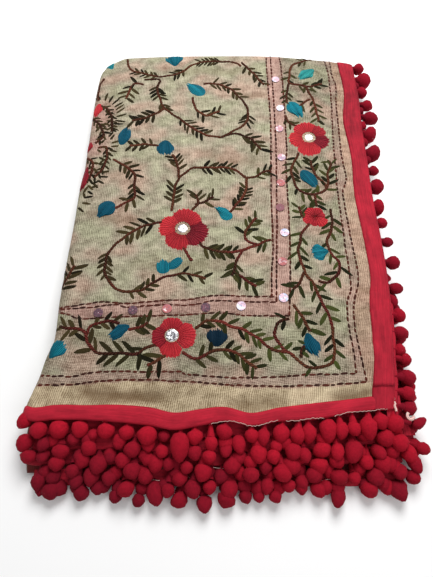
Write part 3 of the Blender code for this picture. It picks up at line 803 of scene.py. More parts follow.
def cloth_point(left_travel, back_travel):
    """A point of the top layer's outer face."""
    if left_travel < CORNER_TRAVEL and back_travel < CORNER_TRAVEL:
        left_share = 1 - left_travel / CORNER_TRAVEL
        back_share = 1 - back_travel / CORNER_TRAVEL
        out_left = left_share * math.sqrt(1 - back_share ** 2 / 2)
        out_back = back_share * math.sqrt(1 - left_share ** 2 / 2)
        out = max(1e-6, math.hypot(out_left, out_back))
        inside, drop = fold_profile(CORNER_TRAVEL * (1 - out))
        from_left = CORNER_RADIUS - (CORNER_RADIUS - inside) * out_left / out
        from_back = CORNER_RADIUS - (CORNER_RADIUS - inside) * out_back / out
    else:
        from_left, left_drop = fold_profile(left_travel)
        from_back, back_drop = fold_profile(back_travel)
        inside = min(from_left, from_back)
        drop = left_drop + back_drop
    x, y = plan(from_left, from_back)
    height = (TOP_HEIGHT - drop) * (1 - sinking(from_left, from_back) / TOP_HEIGHT)
    return Vector((x, y, height + relief(x, y) * eased(0, 12, inside)))


def top_point(from_left, from_back):
    return cloth_point(from_left + EDGE_TRAVEL, from_back + EDGE_TRAVEL)


def between(lines, names, place, value):
    """1 where a value lies between two lines read at a place, fading over a millimetre."""
    low, high = (read(lines[name], place) for name in names)
    return clamp(value - low + 0.5) * clamp(high - value + 0.5)


# Stitched lines: on the long side as X for places Y, on the front as Y for places X
SIDE_LINES = {
    "A": ((-74, 32), (-55, 33), (-34, 35), (13, 36), (77, 39), (120, 39), (164, 39)),
    "B": ((-78, 35), (-45, 37), (-12, 39), (50, 42), (105, 43), (164, 43)),
    "C": ((-88, 43), (-55, 46), (-12, 48), (37, 49), (63, 51), (136, 52), (164, 51)),
    "D": ((-127, 83), (-111, 83), (-94, 82), (-79, 83), (-65, 87), (-29, 87), (13, 87),
          (37, 88), (63, 89), (105, 92), (128, 93), (142, 93), (160, 91)),
    "E": ((-132, 89), (-111, 87), (-94, 86), (-77, 88), (-60, 93), (-29, 92), (-5, 91),
          (13, 91), (27, 95), (50, 94), (77, 95), (105, 96), (125, 98), (141, 96), (160, 96)),
}
FRONT_LINES = {
    "A": ((-113, -82), (-97, -80), (-84, -78), (-65, -79), (-45, -77), (-25, -76), (-4, -73),
          (17, -74), (32, -74)),
    "B": ((-112, -83), (-92, -82), (-75, -80), (-65, -82), (-45, -80), (-23, -80), (-6, -77),
          (17, -78), (35, -78)),
    "C": ((-112, -85), (-105, -87), (-96, -90), (-74, -89), (-49, -88), (-23, -87), (-2, -86),
          (17, -88), (43, -88)),
    "D": ((-118, -128), (-99, -129), (-87, -127), (-73, -126), (-47, -126), (-30, -126),
          (-22, -128), (15, -130), (52, -128), (83, -127)),
    "E": ((-119, -134), (-98, -134), (-78, -132), (-54, -131), (-30, -132), (-14, -133),
          (15, -135), (43, -135), (68, -134), (89, -132)),
}


# Where the cut motif's pinker ground lies: place and reach
MOTIF = ((-108, 90, 22), (-107, 60, 17), (-110, 34, 15))
OUTER_BAND = 0.55                # the tint between the outer lines, as a part of the inner
SIDE_HEM = 0.4                   # how far the side's hem is as plain as the front's
TROUGH_DEPTH = 1.1               # a crease this deep is fully shaded


def cloth_marks(spot):
    """Where the cloth is tinted between the stitched lines, where it is plain border, and where
    shade and light are painted on it.
    """
    x, y = spot.x, spot.y
    side = between(SIDE_LINES, "AC", y, x) * (y > -88)
    front = between(FRONT_LINES, "CA", x, y) * (x < 43)
    outer_side = between(SIDE_LINES, "DE", y, x) * (y > -132)
    outer_front = between(FRONT_LINES, "ED", x, y) * (x < 89)
    plain_side = clamp(x - read(SIDE_LINES["E"], y))
    plain_front = clamp(read(FRONT_LINES["E"], x) - y)
    # painted shade: the front band, the left, the right band, beside the front flower and the top
    # right corner are darker; on the plain hem, darker left of the middle and painted light
    # towards the right
    front_cloth_shade = eased(-66, -90, y) * (1 - 0.55 * eased(-20, 60, x))
    left_cloth_shade = 0.3 * eased(-40, -110, x)
    right_cloth_shade = 0.7 * eased(-70, -20, y) * eased(50, 53, x) * (1 - plain_side)
    flower_cloth_shade = 0.45 * eased(-45, -30, x) * eased(0, -12, x) * eased(-88, -96, y)
    corner_cloth_shade = 0.85 * eased(95, 120, y) * eased(44, 52, x)
    hem_cloth_light_and_shade = 0.65 * eased(-60, -42, x) * eased(0, -18, x) - 2.0 * eased(24, 46, x)
    painted_shade = max(front_cloth_shade, left_cloth_shade, right_cloth_shade) + flower_cloth_shade + corner_cloth_shade
    motif = max(1 - math.hypot(x - mid_x, y - mid_y) / reach for mid_x, mid_y, reach in MOTIF)
    return {"band": max(side, front, OUTER_BAND * outer_side, OUTER_BAND * outer_front,
                        clamp(motif * 1.5)),
            "border": max(SIDE_HEM * plain_side, plain_front),
            # painted shade in the creases' troughs
            "trough": clamp(-relief(x, y) / TROUGH_DEPTH),
            # painted shade and light
            "shade": mix(painted_shade, hem_cloth_light_and_shade, plain_front)}


def top_cloth():
    width = NOMINAL_WIDTH + EDGE_TRAVEL
    depth = NOMINAL_DEPTH + EDGE_TRAVEL
    bm = new_mesh()
    grid(bm, round(width / CLOTH_STEP), round(depth / CLOTH_STEP),
         lambda across, up: cloth_point(across * width, (1 - up) * depth),
         lambda across, up: (across * width, up * depth), marks=cloth_marks)
    return bm


# ---------------------------------------------------------------- tapes

def surface_normal(from_left, from_back):
    step = 0.6
    here = top_point(from_left, from_back)
    beside = top_point(from_left - step, from_back)
    behind = top_point(from_left, from_back - step)
    return (behind - here).cross(beside - here).normalized()


def tape_lift(along, across, seed):
    """How a tape stands off the cloth: a thin body with small puckers along its stitching."""
    pucker = math.sin(along / 3.1 + 2 * chance(int(along / 7), seed)) * 0.14
    swell = 0.3 * math.sin(math.pi * across)
    return TAPE_THICKNESS + swell + pucker * (1 - across)


def rolled_edge(share):
    """How far a tape's two edges roll down, by the share of its width."""
    return TAPE_ROLL * (1 - math.sin(math.pi / 2 * clamp(min(share, 1 - share) * 6)))


def side_tape():
    """The tape on the long edge: the main run, then the end piece that shows below its fold."""
    bm = new_mesh()
    for start, end, rise, ramp in SIDE_TAPE_RUNS:

        def place(across, up, start=start, end=end, rise=rise, ramp=ramp):
            y = mix(end, start, up)
            from_back = clamp((read(BACK_FOLD, SIDE_TAPE_X) - y) / SIDE_TAPE_DEPTH) * NOMINAL_DEPTH
            from_left = NOMINAL_WIDTH - read(SIDE_TAPE, y) * (1 - across) + 0.8 * across
            ramped = eased(LAP_START + ramp, LAP_START, y) if ramp else 1
            lift = tape_lift(y, across, 1) + rise * ramped
            return (top_point(from_left, from_back)
                    + surface_normal(from_left, from_back) * (lift - rolled_edge(across)))

        grid(bm, 10, round((start - end) / TAPE_STEP), place,
             lambda across, up, run=start - end: (up * run, across * 13),
             tone=lambda across, up, start=start, end=end: mix(
                 *SIDE_TAPE_TONES, eased(0, 90, mix(end, start, up))))
    return bm


def front_tape():
    """The tape across the front end, from round the left fold to the long edge."""
    bm = new_mesh()
    start, end = -0.5, NOMINAL_WIDTH - 0.5

    def place(across, up):
        from_left = mix(start, end, across)
        rough_x = mix(-120, 105, across)
        from_back = NOMINAL_DEPTH - read(FRONT_TAPE, rough_x) * up + 0.6
        beyond = max(0.0, from_back - NOMINAL_DEPTH)
        spot = top_point(from_left, from_back - beyond)
        spot.y -= beyond
        lift = tape_lift(rough_x, 1 - up, 2) - rolled_edge(up)
        return spot + surface_normal(from_left, from_back - beyond) * lift

    grid(bm, round(NOMINAL_WIDTH / TAPE_STEP), 8, place,
         lambda across, up: (across * NOMINAL_WIDTH, up * 11), tone=0.02)
    return bm


# ---------------------------------------------------------------- the hidden layers

def row_height(row):
    return mix(ROW_TOP, ROW_BOTTOM, row / (ROW_COUNT - 1))


def tread_height(row):
    return row_height(row - 1) - ROW_RADIUS - ROW_CLEARANCE


def braid_height(row):
    return tread_height(row) if row else TOP_BRAID


def side_sinking(row, y, height):
    """How far the top side row sinks where the stack slopes to its front end."""
    return 0.0 if row else sinking(0, 163 - y) * height / TOP_HEIGHT


def braid_line(row, x):
    """Where the front face of a front row's braid runs."""
    top = read(FRONT_END, x) + 1.0
    return mix(top, -ROW_REACH, row / (ROW_COUNT - 1))


def layer_front(row, x):
    return braid_line(row, x) + BRAID_WIDTH + 0.5


def layer_side(row, y):
    edge = read(LONG_EDGE, y) - SIDE_SETBACK
    if row == 0:
        return edge
    return edge + mix(LEAN_BACK, LEAN_FRONT, eased(0, -LEAN_END, -y))


def wander(lip, place):
    """How far a folded layer stays back from the ones around it."""
    return (0.7 * (1 + math.sin(place / 23 + lip * 2.1))
            + 0.45 * (1 + math.sin(place / 9.3 + lip * 4.7)) + 0.5 * (1 + chance(lip, 5))) * 0.5


def shares(parts):
    return [part / parts for part in range(parts)]


def layer_ring(height, bulge, row, lip):
    """Points round the hidden layers at one height, anticlockwise from the front left."""
    covered = height > COVERED_ABOVE
    lip_in = LIP_DEPTH * (1 - bulge)
    points = []

    def fold_in(place):
        return COVERED_INSET if covered else lip_in + wander(lip, place) * 0.8

    def add(x, y, from_left, from_back):
        sunk = sinking(from_left, from_back)
        points.append(Vector((x, y, height * (1 - sunk / TOP_HEIGHT))))

    def front_y(x):
        return layer_front(row, x) + lip_in + wander(lip, x + 40) * 0.6

    def add_open(x, y):
        add(x, y, NOMINAL_WIDTH / 2, NOMINAL_DEPTH - (y - read(FRONT_END, x)))

    def add_folded(from_left, from_back):
        add(*plan(from_left, from_back), from_left, from_back)

    left_x = read(LEFT_FOLD, front_y(-110)) + fold_in(0) + 1
    right_x = layer_side(row, front_y(110)) - lip_in
    for share in shares(FRONT_PARTS):
        x = mix(left_x, right_x, share)
        add_open(x, front_y(x))
    start_y, end_y = front_y(right_x), read(BACK_FOLD, right_x) - fold_in(300) - 1
    for share in shares(SIDE_PARTS):
        y = mix(start_y, end_y, share)
        strayed = wander(lip, y + 400) * 0.8 * clamp(share * SIDE_PARTS / 6)
        add_open(layer_side(row, y) - lip_in - strayed, y)
    for share in shares(BACK_PARTS):
        from_left = mix(NOMINAL_WIDTH - SIDE_SETBACK, CORNER_RADIUS, share)
        add_folded(from_left, fold_in(from_left))
    for share in shares(CORNER_PARTS):
        turn = math.pi / 2 * (1 - share)
        radius = CORNER_RADIUS - fold_in(0)
        add_folded(CORNER_RADIUS - radius * math.cos(turn),
                   CORNER_RADIUS - radius * math.sin(turn))
    end = NOMINAL_DEPTH - (front_y(left_x) - read(FRONT_END, left_x))
    for share in shares(SIDE_PARTS):
        from_back = mix(CORNER_RADIUS, end, share)
        add_folded(fold_in(-from_back), from_back)
    points.append(points[0].copy())
    return points


def layer_row(middle):
    """The front row whose layer reaches a height, read at the folds."""
    scale = 1 - FRONT_SLOPE_DROP / TOP_HEIGHT
    return sum(middle * scale < tread_height(row) for row in range(1, ROW_COUNT))


def hidden_layers():
    rings, heights = [], []
    for lip in range(len(LAYER_TOPS) - 1):
        top, bottom = LAYER_TOPS[lip], LAYER_TOPS[lip + 1]
        row = layer_row((top + bottom) / 2)
        for share in LIP_SHARES:
            height = mix(top, bottom, share)
            rings.append(layer_ring(height, math.sin(math.pi * share), row, lip))
            heights.append(height)
    bm = new_mesh()
    columns, rows = len(rings[0]) - 1, len(rings) - 1

    def place(around, down):
        return rings[round(down * rows)][round(around * columns)]

    points = grid(bm, columns, rows, place,
                  lambda around, down: (around * STACK_ROUND, heights[round(down * rows)]))
    trough, gap_painted_shade = bm.verts.layers.float["trough"], bm.verts.layers.float["shade"]
    for index, point in enumerate(points):
        share = LIP_SHARES[index // (columns + 1) % len(LIP_SHARES)]
        # painted shade between two folds
        point[trough] = VALLEY_SHADE * abs(2 * share - 1) ** 2
        around = index % (columns + 1)
        # painted shade on the front face between the pompoms, fading round the corners
        point[gap_painted_shade] = max(eased(FRONT_PARTS + 4, FRONT_PARTS, around),
                           eased(columns - 4, columns, around))
    bmesh.ops.remove_doubles(bm, verts=points, dist=0.01 * MM)
    bmesh.ops.holes_fill(bm, edges=[edge for edge in bm.edges if edge.is_boundary], sides=0)
    bmesh.ops.recalc_face_normals(bm, faces=bm.faces)
    return bm


# ---------------------------------------------------------------- pompoms

def add_pompom(bm, root, middle, half_width, half_length, number, tint):
    """A felt drop with its neck, from its root on the braid out to its middle."""
    tones = bm.verts.layers.float["tone"]
    tint += POMPOM_TINT * chance(number, 7)
    lean = Vector((chance(number, 1), chance(number, 2), chance(number, 3) * 0.6)) * POMPOM_LEAN
    axis = ((middle - root).normalized() + lean).normalized()
    turned = axis.to_track_quat("Z", "Y").to_matrix().to_4x4()
    round_height = min(half_width * (0.94 + 0.08 * chance(number, 4)), middle.z - 0.1)
    shape = Matrix.Diagonal((half_width, round_height, half_length, 1))
    ball = bmesh.ops.create_icosphere(bm, subdivisions=POMPOM_DETAIL, radius=1.0)["verts"]
    taper = 0.16 + 0.12 * chance(number, 5)
    for index, point in enumerate(ball):
        egg = 1 - taper * point.co.z - 0.1 * point.co.z ** 2
        lump = 1 + POMPOM_LUMPS * chance(index * 7 + number, 6)
        point.co = Vector((point.co.x * egg, point.co.y * egg, point.co.z)) * lump
        point.co = middle + turned @ (shape @ point.co)
        point.co.z = max(point.co.z, FLOOR_GAP)
        point.co *= MM
        point[tones] = tint
    inner = middle - (middle - root) * 0.35
    run = inner - root
    neck = bmesh.ops.create_cone(
        bm, cap_ends=False, segments=NECK_SIDES, radius1=0.9, radius2=half_width * 0.6,
        depth=run.length)["verts"]
    aim = run.to_track_quat("Z", "Y").to_matrix().to_4x4()
    for point in neck:
        point.co = (root + run / 2 + aim @ point.co) * MM
        # painted shade: the neck is darker, in the shade under its pompom
        point[tones] = tint - 0.4


def add_strip(bm, line, start, end, depth, height_at, step=4.0):
    """A strip of tape lying on a tread, its front edge on a line, with a rolled edge."""
    count = max(4, round(abs(end - start) / step))
    section = ((0, -1.2), (-0.4, -0.2), (0.3, 0.5), (2.0, 0.7), (depth, 0.3))

    def place(along, across):
        where = mix(start, end, along)
        spot, outward = line(where)
        back, up = section[round(across * (len(section) - 1))]
        wave = 0.35 * math.sin(where / 4.3 + depth)
        return spot - outward * (back - wave) + UP * max(FLOOR_GAP, height_at(where) + up)

    # painted shade: the lower tapes are darker
    grid(bm, count, len(section) - 1, place,
         lambda along, across: (along * abs(end - start), across * depth), tone=LOWER_TAPE_SHADE)


def front_trim(row, places):
    bm = new_mesh()
    tucked = []
    for index in range(FILLERS[row]):
        number = index + 40 * row
        x = mix(*FILLER_SPAN, (index + 0.5) / FILLERS[row]) + 3.5 * chance(number, 1)
        tucked.append((x, braid_line(row, x) - FILLER_REACH - chance(number, 2),
                       4.3 + 0.5 * chance(index, row), 4.4 + 0.4 * chance(index, row + 2)))
    for index, (x, y, half_width, half_length) in enumerate((*places, *tucked)):
        number = 100 * row + index
        half_width, half_length = half_width * POMPOM_GROWTH, half_length * POMPOM_GROWTH
        root_x = min(ROOT_SPAN[1], max(ROOT_SPAN[0], x + 1.5 * chance(number, 9)))
        root = Vector((root_x, max(braid_line(row, root_x), y + half_length),
                       braid_height(row) - 0.2))
        height = row_height(row) + 0.8 * chance(number, 8)
        height -= FILLER_DROP * (index >= len(places))
        middle = Vector((x, y, max(height, half_width * LEAST_HEIGHT)))
        # painted shade towards the left fold, painted light towards the open corner
        left_pompom_shade = LEFT_ROW_SHADE * (1 - eased(-125, 30, x)) * min(1, row)
        add_pompom(bm, root, middle, half_width, half_length, number,
                   ROW_LIGHT_AND_SHADE[row] - left_pompom_shade + RIGHT_ROW_LIGHT * eased(20, 110, x))
    return bm


def side_trim(row, places, braid, middle_height):
    bm = new_mesh()
    for index, (y, x, half_length, half_width) in enumerate(places):
        y -= 2.0 * eased(0, 60, y)
        number = 1000 + 100 * row + index
        reach = layer_side(row, y) + BRAID_WIDTH if row else read(LONG_EDGE, y) - 1.0
        sunk = side_sinking(row, y, braid)
        root = Vector((min(reach, x - half_length * 0.4), y + 1.2 * chance(number, 9),
                       braid - sunk))
        middle = Vector((x, y, max(middle_height - sunk + 0.7 * chance(number, 8),
                                   half_width * LEAST_HEIGHT)))
        # painted shade on the side pompoms
        add_pompom(bm, root, middle, half_width * POMPOM_GROWTH, half_length * POMPOM_GROWTH,
                   number, SIDE_ROW_SHADE - SIDE_DULLNESS * eased(-90, 60, y))
    return bm


def trim_tape(row, side):
    """The tape that a lower row's pompoms hang from, lying on its tread."""
    bm = new_mesh()
    if side:
        braid = LOWER_SIDE_ROWS[row - 1][1] if row else SIDE_ROW_TOP[0]

        def line(y):
            shown = FLAP_REACH * eased(-146, -157, y)
            if row == 0:
                shown = 0.6 + 3.6 * eased(-52, -78, y) + 1.8 * eased(60, 90, y)
            return Vector((layer_side(row, y) + BRAID_WIDTH + shown, y, 0)), Vector((1, 0, 0))

        start, end, depth = SIDE_STRIP
        add_strip(bm, line, start - 5 * row, end, depth,
                  lambda y: braid - side_sinking(row, y, braid))
    else:
        def turned(x):
            return max(0.0, FRONT_STRIP[0] - x) / STRIP_TURN

        def line(x):
            shown_x = max(x, FRONT_STRIP[0]) - STRIP_TURN * math.sin(turned(x))
            y = braid_line(row, shown_x) - (LOWEST_REACH if row == ROW_COUNT - 1 else 0)
            return Vector((shown_x, y, 0)), Vector((0, -1, 0))

        start, end, depth = FRONT_STRIP
        start -= STRIP_TURN * math.radians(80) * (row < ROW_COUNT - 1)
        add_strip(bm, line, start, end, depth,
                  lambda x: braid_height(row) - STRIP_TURN * (1 - math.cos(turned(x))),
                  step=2.5)
    return bm


# ---------------------------------------------------------------- embroidery

LEAF_WIDTH = 3.25
SHORT_LEAVES = 0.14              # leaves are this much smaller near the front corner
LEAF_LENGTH = 8.5                # a leaf this long has the full width
LEAF_RISE = 0.8
FAN_WIDTH = 2.5                  # of the short strokes round the cut motif
STEM_WIDTH = 2.75
STEM_RISE = 0.8
STITCH_WIDTH = 1.9
STITCH_RISE = 0.6
STITCH_FILL = 1.0                # part of its pitch that a running stitch covers
CLOSE_FILL = 1.1                 # and along the lines beside the sequins
SIDE_STITCH_PITCH = 4.0
FRONT_STITCH_PITCH = 4.5
STEM_WOBBLE = 0.35               # how far a stem strays from its curve
THREAD_SINK = 0.12               # how deep thread sits in the cloth

# Vines: plan places from base to tip, then runs of leaves: start, end (parts of the length),
# how many pairs, and their length
VINES = (
    # field
    (((16, 151), (12, 155), (-1, 157), (-23, 155), (-40, 142), (-56, 138), (-74, 143),
      (-83, 148), (-86, 160)), ((0.16, 0.32, 6, 7), (0.45, 0.54, 3, 8), (0.66, 0.84, 5, 6))),
    (((-69, 134), (-56, 134), (-57, 124), (-56, 117), (-52, 105), (-50, 100)),
     ((0.42, 0.72, 4, 8), (0.86, 1, 2, 8))),
    (((-50, 100), (-55, 95), (-66, 89), (-76, 86)), ((0.25, 1, 5, 9),)),
    (((-50, 100), (-43, 94), (-33, 85), (-24, 77), (-15, 71), (-2, 68)),
     ((0.3, 0.76, 6, 8),)),
    (((-69, 128), (-78, 129), (-81, 120), (-83, 111)), ((0.15, 1, 4, 9),)),
    (((-26, 113), (-24, 101), (-19, 95), (-13, 92), (-3, 97)), ((0.4, 1, 4, 8),)),
    (((-17, 129), (-6, 129), (3, 125), (9, 120), (17, 108), (21, 96), (19, 85), (13, 78),
      (5, 73), (-2, 68)), ((0.04, 0.4, 6, 8), (0.6, 0.72, 3, 8))),
    (((-50, 58), (-62, 61), (-68, 60), (-76, 59)), ((0.25, 1, 4, 8),)),
    (((-35, 27), (-37, 42), (-41, 50)), ((0.3, 0.9, 4, 8),)),
    (((-35, 27), (-27, 35), (-20, 37), (-6, 37), (7, 36), (17, 27)), ((0.34, 0.76, 7, 8),)),
    (((-39, -4), (-38, 15), (-35, 27)), ((0.2, 0.7, 4, 9),)),
    (((-24, -3), (-20, 3), (-21, 11)), ((0.6, 1, 2, 8),)),
    (((-22, 2), (-14, 5), (-8, 9)), ((0.4, 1, 2, 8),)),
    (((3, -6), (11, 4), (16, 13), (18, 25), (17, 27)), ((0.12, 0.74, 7, 7),)),
    (((-88, 45), (-81, 41), (-73, 35), (-69, 27), (-69, 19), (-68, 10), (-72, 5), (-82, -1)),
     ((0.1, 0.4, 4, 8), (0.5, 0.84, 5, 8))),
    (((-46, -14), (-53, -15), (-61, -18), (-71, -25), (-76, -30), (-82, -38), (-84, -45),
      (-84, -54), (-82, -60), (-78, -65), (-73, -69), (-60, -70), (-52, -65), (-46, -61),
      (-39, -58), (-29, -56), (-20, -58), (-13, -60)),
     ((0.02, 0.2, 5, 9), (0.32, 0.46, 5, 7), (0.6, 0.74, 4, 7), (0.84, 1, 3, 8))),
    (((-18, -30), (-15, -35), (-6, -38), (5, -39), (12, -38), (18, -35), (24, -33)),
     ((0.12, 0.6, 6, 8),)),
    (((13, -38), (9, -45), (7, -52), (5, -58)), ((0.45, 1, 4, 8),)),
    (((-31, -31), (-28, -38), (-23, -46)), ()),
    (((-115, -70), (-111, -62), (-106, -50)), ((0.05, 1, 5, 10),)),
    (((-104.5, 135.5), (-107.5, 127), (-108, 118), (-106.5, 109)), ()),
    (((-2, 68), (7, 72), (13, 71), (22, 67), (25, 63), (30, 55)), ((0.42, 1, 5, 9),)),
    (((17, 156), (21, 150), (28, 141), (33, 131), (36, 128)), ((0.15, 0.95, 5, 8),)),
    (((17, 27), (24, 28), (30, 32), (37, 34)), ((0.3, 1, 3, 8),)),
    (((34, -29), (28, -31), (24, -33), (14, -37)), ((0.05, 0.4, 2, 8),)),
    (((24, -33), (16, -29), (15, -24), (17, -19), (24, -10)), ((0.35, 1, 4, 8),)),
    (((7, -55), (12, -59), (15, -62), (22, -66)), ((0.2, 1, 3, 9),)),
    # front band
    (((-43, -108), (-51, -110), (-57, -114), (-69, -114), (-80, -114), (-85, -112),
      (-90, -107), (-92, -100), (-98, -97), (-105, -97), (-110, -95)),
     ((0.1, 0.46, 4, 11), (0.52, 0.7, 2, 10), (0.78, 0.98, 3, 9))),
    (((-38, -114), (-44, -119), (-50, -122)), ((0.1, 0.9, 2, 11),)),
    (((-91, -101), (-90, -96), (-84, -93), (-78, -92), (-70, -93)), ((0.2, 0.9, 3, 8),)),
    (((-64, -98), (-57, -96), (-51, -93)), ((0.2, 1, 3, 9),)),
    (((-28, -113), (-21, -117), (-14, -116), (-7, -112), (2, -112), (7, -114), (11, -117),
      (20, -124)), ((0.14, 0.4, 2, 10), (0.5, 1, 6, 9))),
    (((-20, -97), (-13, -92), (-3, -92), (3, -95), (12, -98), (16, -100), (22, -104),
      (28, -110), (32, -112), (40, -113), (45, -117), (49, -121), (52, -123)),
     ((0.02, 0.3, 4, 9), (0.36, 0.6, 4, 9), (0.64, 0.8, 2, 10))),
    (((43, -90), (35, -93), (33, -98), (33, -103), (37, -110), (40, -113)),
     ((0.02, 0.12, 1, 8),)),
    # right band
    (((63, -15), (57, -23), (54, -33), (53, -40), (56, -55), (61, -63), (64, -73),
      (67, -80), (69, -86), (71, -94), (71, -103), (70, -117), (67, -121), (61, -123),
      (52, -123), (49, -121)),
     ((0.06, 0.3, 4, 9), (0.36, 0.62, 4, 10), (0.68, 0.84, 3, 10), (0.9, 0.97, 1, 9))),
    (((46, -80), (52, -89), (56, -99)), ((0.1, 1, 3, 10),)),
    (((60, -107), (50, -110), (49, -117)), ((0.3, 0.8, 2, 8),)),
    (((80, -2), (79, -19), (74, -31), (77, -41), (81, -48), (79, -57), (72, -63), (65, -62)),
     ((0.05, 0.3, 3, 9), (0.38, 0.95, 5, 9))),
    (((56, -55), (51, -65), (47, -68)), ((0.5, 1, 2, 9),)),
    (((80, 160), (71, 157), (62, 152), (59, 142), (58, 130), (68, 127), (72, 124),
      (76, 113), (78, 101), (79, 91), (79, 85)),
     ((0.03, 0.12, 2, 7), (0.26, 0.42, 2, 7), (0.5, 0.62, 2, 8), (0.74, 1, 4, 8))),
    (((68, 127), (77, 126), (86, 129)), ((0.3, 1, 3, 8),)),
    (((58, 130), (55, 120), (54, 106)), ((0.3, 1, 3, 7),)),
    (((52, 92), (54, 85), (60, 80)), ((0.2, 0.8, 2, 7),)),
    (((60, 52), (56, 43), (53, 35), (54, 25), (58, 15), (67, 11), (73, 13), (79, 17),
      (81, 25), (81, 32), (85, 40), (83, 44)),
     ((0.04, 0.3, 4, 8), (0.38, 0.6, 4, 8), (0.66, 1, 6, 8))),
    (((79, 19), (78, 22), (71, 31), (69, 44)), ((0.55, 1, 3, 8),)),
    (((69, 11), (70, 0)), ((0.3, 0.9, 2, 8),)),
    (((62, -12), (58, -8), (56, 0)), ((0.1, 1, 3, 7),)),
    (((74, 111), (68, 106), (60, 98)), ((0.2, 0.6, 1, 8),)),
    # the cut motif on the left fold
    (((-104, 103), (-98, 100), (-94, 91), (-92, 82), (-92, 74)), ((0.0, 0.95, 7, 5),)),
    (((-101, 57), (-95, 58), (-93, 50), (-94, 42), (-95, 36), (-101, 27)), ((0.1, 1, 8, 5),)),
    (((-112, 92), (-103, 82), (-98, 70), (-104, 62)), ((0.0, 0.9, 7, 6),)),
    (((-110, 48), (-103, 40), (-106, 22)), ((0.0, 0.9, 5, 6),)),
)
# Short strokes round the cut motif: an arc's centre, radius, first and last angle, how many
FANS = (
    (-108, 92, 18, 92, -42, 12, 10),
    (-106, 90, 9, 60, -60, 7, 6),
    (-104, 60, 13, 40, -70, 8, 7),
    (-104, 60, 5, 60, -60, 4, 5),
    (-108, 32, 12, 40, -75, 7, 7),
    (-109, 20, 7, 10, -80, 4, 6),
    (-117, 8, 10, 50, -50, 5, 8),
)
# Buds: the base's place, length, width, heading in degrees, the shares of the width at the
# base and at the far end, sideways bend, and tone
BUDS = (
    (-42.5, 151, 14.5, 16, 98, 0.42, 1.0, 0.0, 0.15),
    (-98, 147, 16, 11, 122, 0.5, 0.7, 0.0, 0.75),
    (-16.5, 115, 20, 12, 130, 0.9, 0.6, 0.12, 0.3),
    (-83, 59.5, 20, 11, 78, 0.7, 0.7, 0.0, -0.3),
    (-47, 65.5, 15.5, 14.5, 268, 0.62, 1.0, 0.05, -0.2),
    (-83.5, 4.5, 18, 13.5, 232, 0.9, 0.28, 0.0, -0.25),
    (6.5, -10, 17, 10, 155, 0.9, 0.4, -0.16, 0.45),
    (-43, -56.5, 11.5, 10.5, 93, 0.85, 0.95, 0.0, 0.25),
    (-40.5, -51.5, 12.5, 7.5, 28, 0.8, 0.85, 0.1, 0.15),
    (-113.5, -117.5, 14, 12, 56, 0.4, 1.0, 0.0, 0.2),
    (-63, -95, 16, 9.5, 204, 0.6, 0.7, 0.14, -0.4),
    (-6, -110, 13, 14.5, 85, 0.6, 0.95, 0.0, -1.0),
    (81, 147.5, 19, 12.5, 222, 0.5, 0.7, 0.0, 0.95),
    (57, 108.5, 20, 14, 288, 0.75, 0.55, 0.1, 0.5),
    (61, 35, 19, 11.5, 300, 0.8, 0.75, 0.05, 0.05),
    (75, -38, 13, 14, 190, 0.35, 0.95, 0.0, 0.3),
    (54, -99.5, 17, 11.5, 281, 0.5, 0.7, 0.1, -0.35),
)
BUD_RISE = 1.1
BUD_WIDEST = 0.55                # how far along a bud is widest
BUD_RAGGED = 0.08                # how far the ends of its stitches differ, by its length
PETAL_RAGGED = 0.04
THREAD_STEP = 1.35               # between the long stitches that fill buds and petals
# Flowers: place, radius, mirror radius, ring width and tone, and petals: heading, spread in
# degrees, share of the radius, tone
FLOWERS = (
    (-30.5, -19.5, 17.5, 3.5, 3.0, 0.5,
     ((72, 112, 1.02, 0.35), (168, 86, 1.02, 0.95), (250, 84, 1.04, 0.3),
      (-22, 96, 1.1, -0.95))),
    (-35, -102, 13.8, 4.3, 0.7, 1.3,
     ((92, 104, 0.93, 0.1), (0, 98, 1.14, 0.5), (268, 82, 1.08, 0.75), (188, 98, 0.97, -0.5))),
    (69.5, 67.5, 16.5, 3.2, 3.2, 0.9,
     ((105, 98, 1.04, 0.6), (190, 80, 1.0, 0.95), (268, 84, 1.14, 0.85), (-20, 72, 1.03, -0.9),
      (40, 62, 1.0, -0.05))),
    (67.5, -9, 9.2, 0.0, 0.0, 0.0,
     ((130, 90, 1.0, 0.3), (62, 80, 0.95, 0.15), (205, 70, 1.05, 0.55), (262, 64, 0.9, 0.2),
      (318, 72, 1.15, 0.85), (8, 60, 0.85, 0.1))),
)
RED_PATCHES = (
    (-105, 106, 16, 8.5, 262, 0.7, 0.6, 0.0, 0.7), (-108, 64, 11, 7, 262, 0.6, 0.5, 0.0, -0.4),
    (-107.5, 39, 26, 9.5, 263, 0.5, 0.5, 0.0, -0.85),
)
# Sequins: place and tone, silver high, mauve low
SEQUINS = (
    (-85, -86, -1.0), (-62, -84, -0.9), (-39, -83, 0.1), (-13, -82, -0.85), (11, -81, 0.9),
    (40, -75, 0.9), (41, -47, -0.2), (44, -23, 1.0), (42, -1, -0.6), (44, 22, 0.0),
    (46, 47, 0.45), (46, 77, 0.4), (48, 100, 1.0), (46, 134, 0.6),
)
SEQUIN_RADIUS = 3.3
SEQUIN_SIDES = 14
SEQUIN_DISH = 0.25
CROSS_TURNS = (35, 125)          # the two stitches that hold a sequin, in degrees
CROSS_LENGTH = 1.6
MIRROR_SIDES = 18
MIRROR_DISH = 0.1
DISC_HEIGHT = 0.85
RING_STITCHES = 20
RING_OVERLAP = 0.7               # how far they reach in over the mirror
RING_SLANT = 0.35
RING_RISE = 1.5


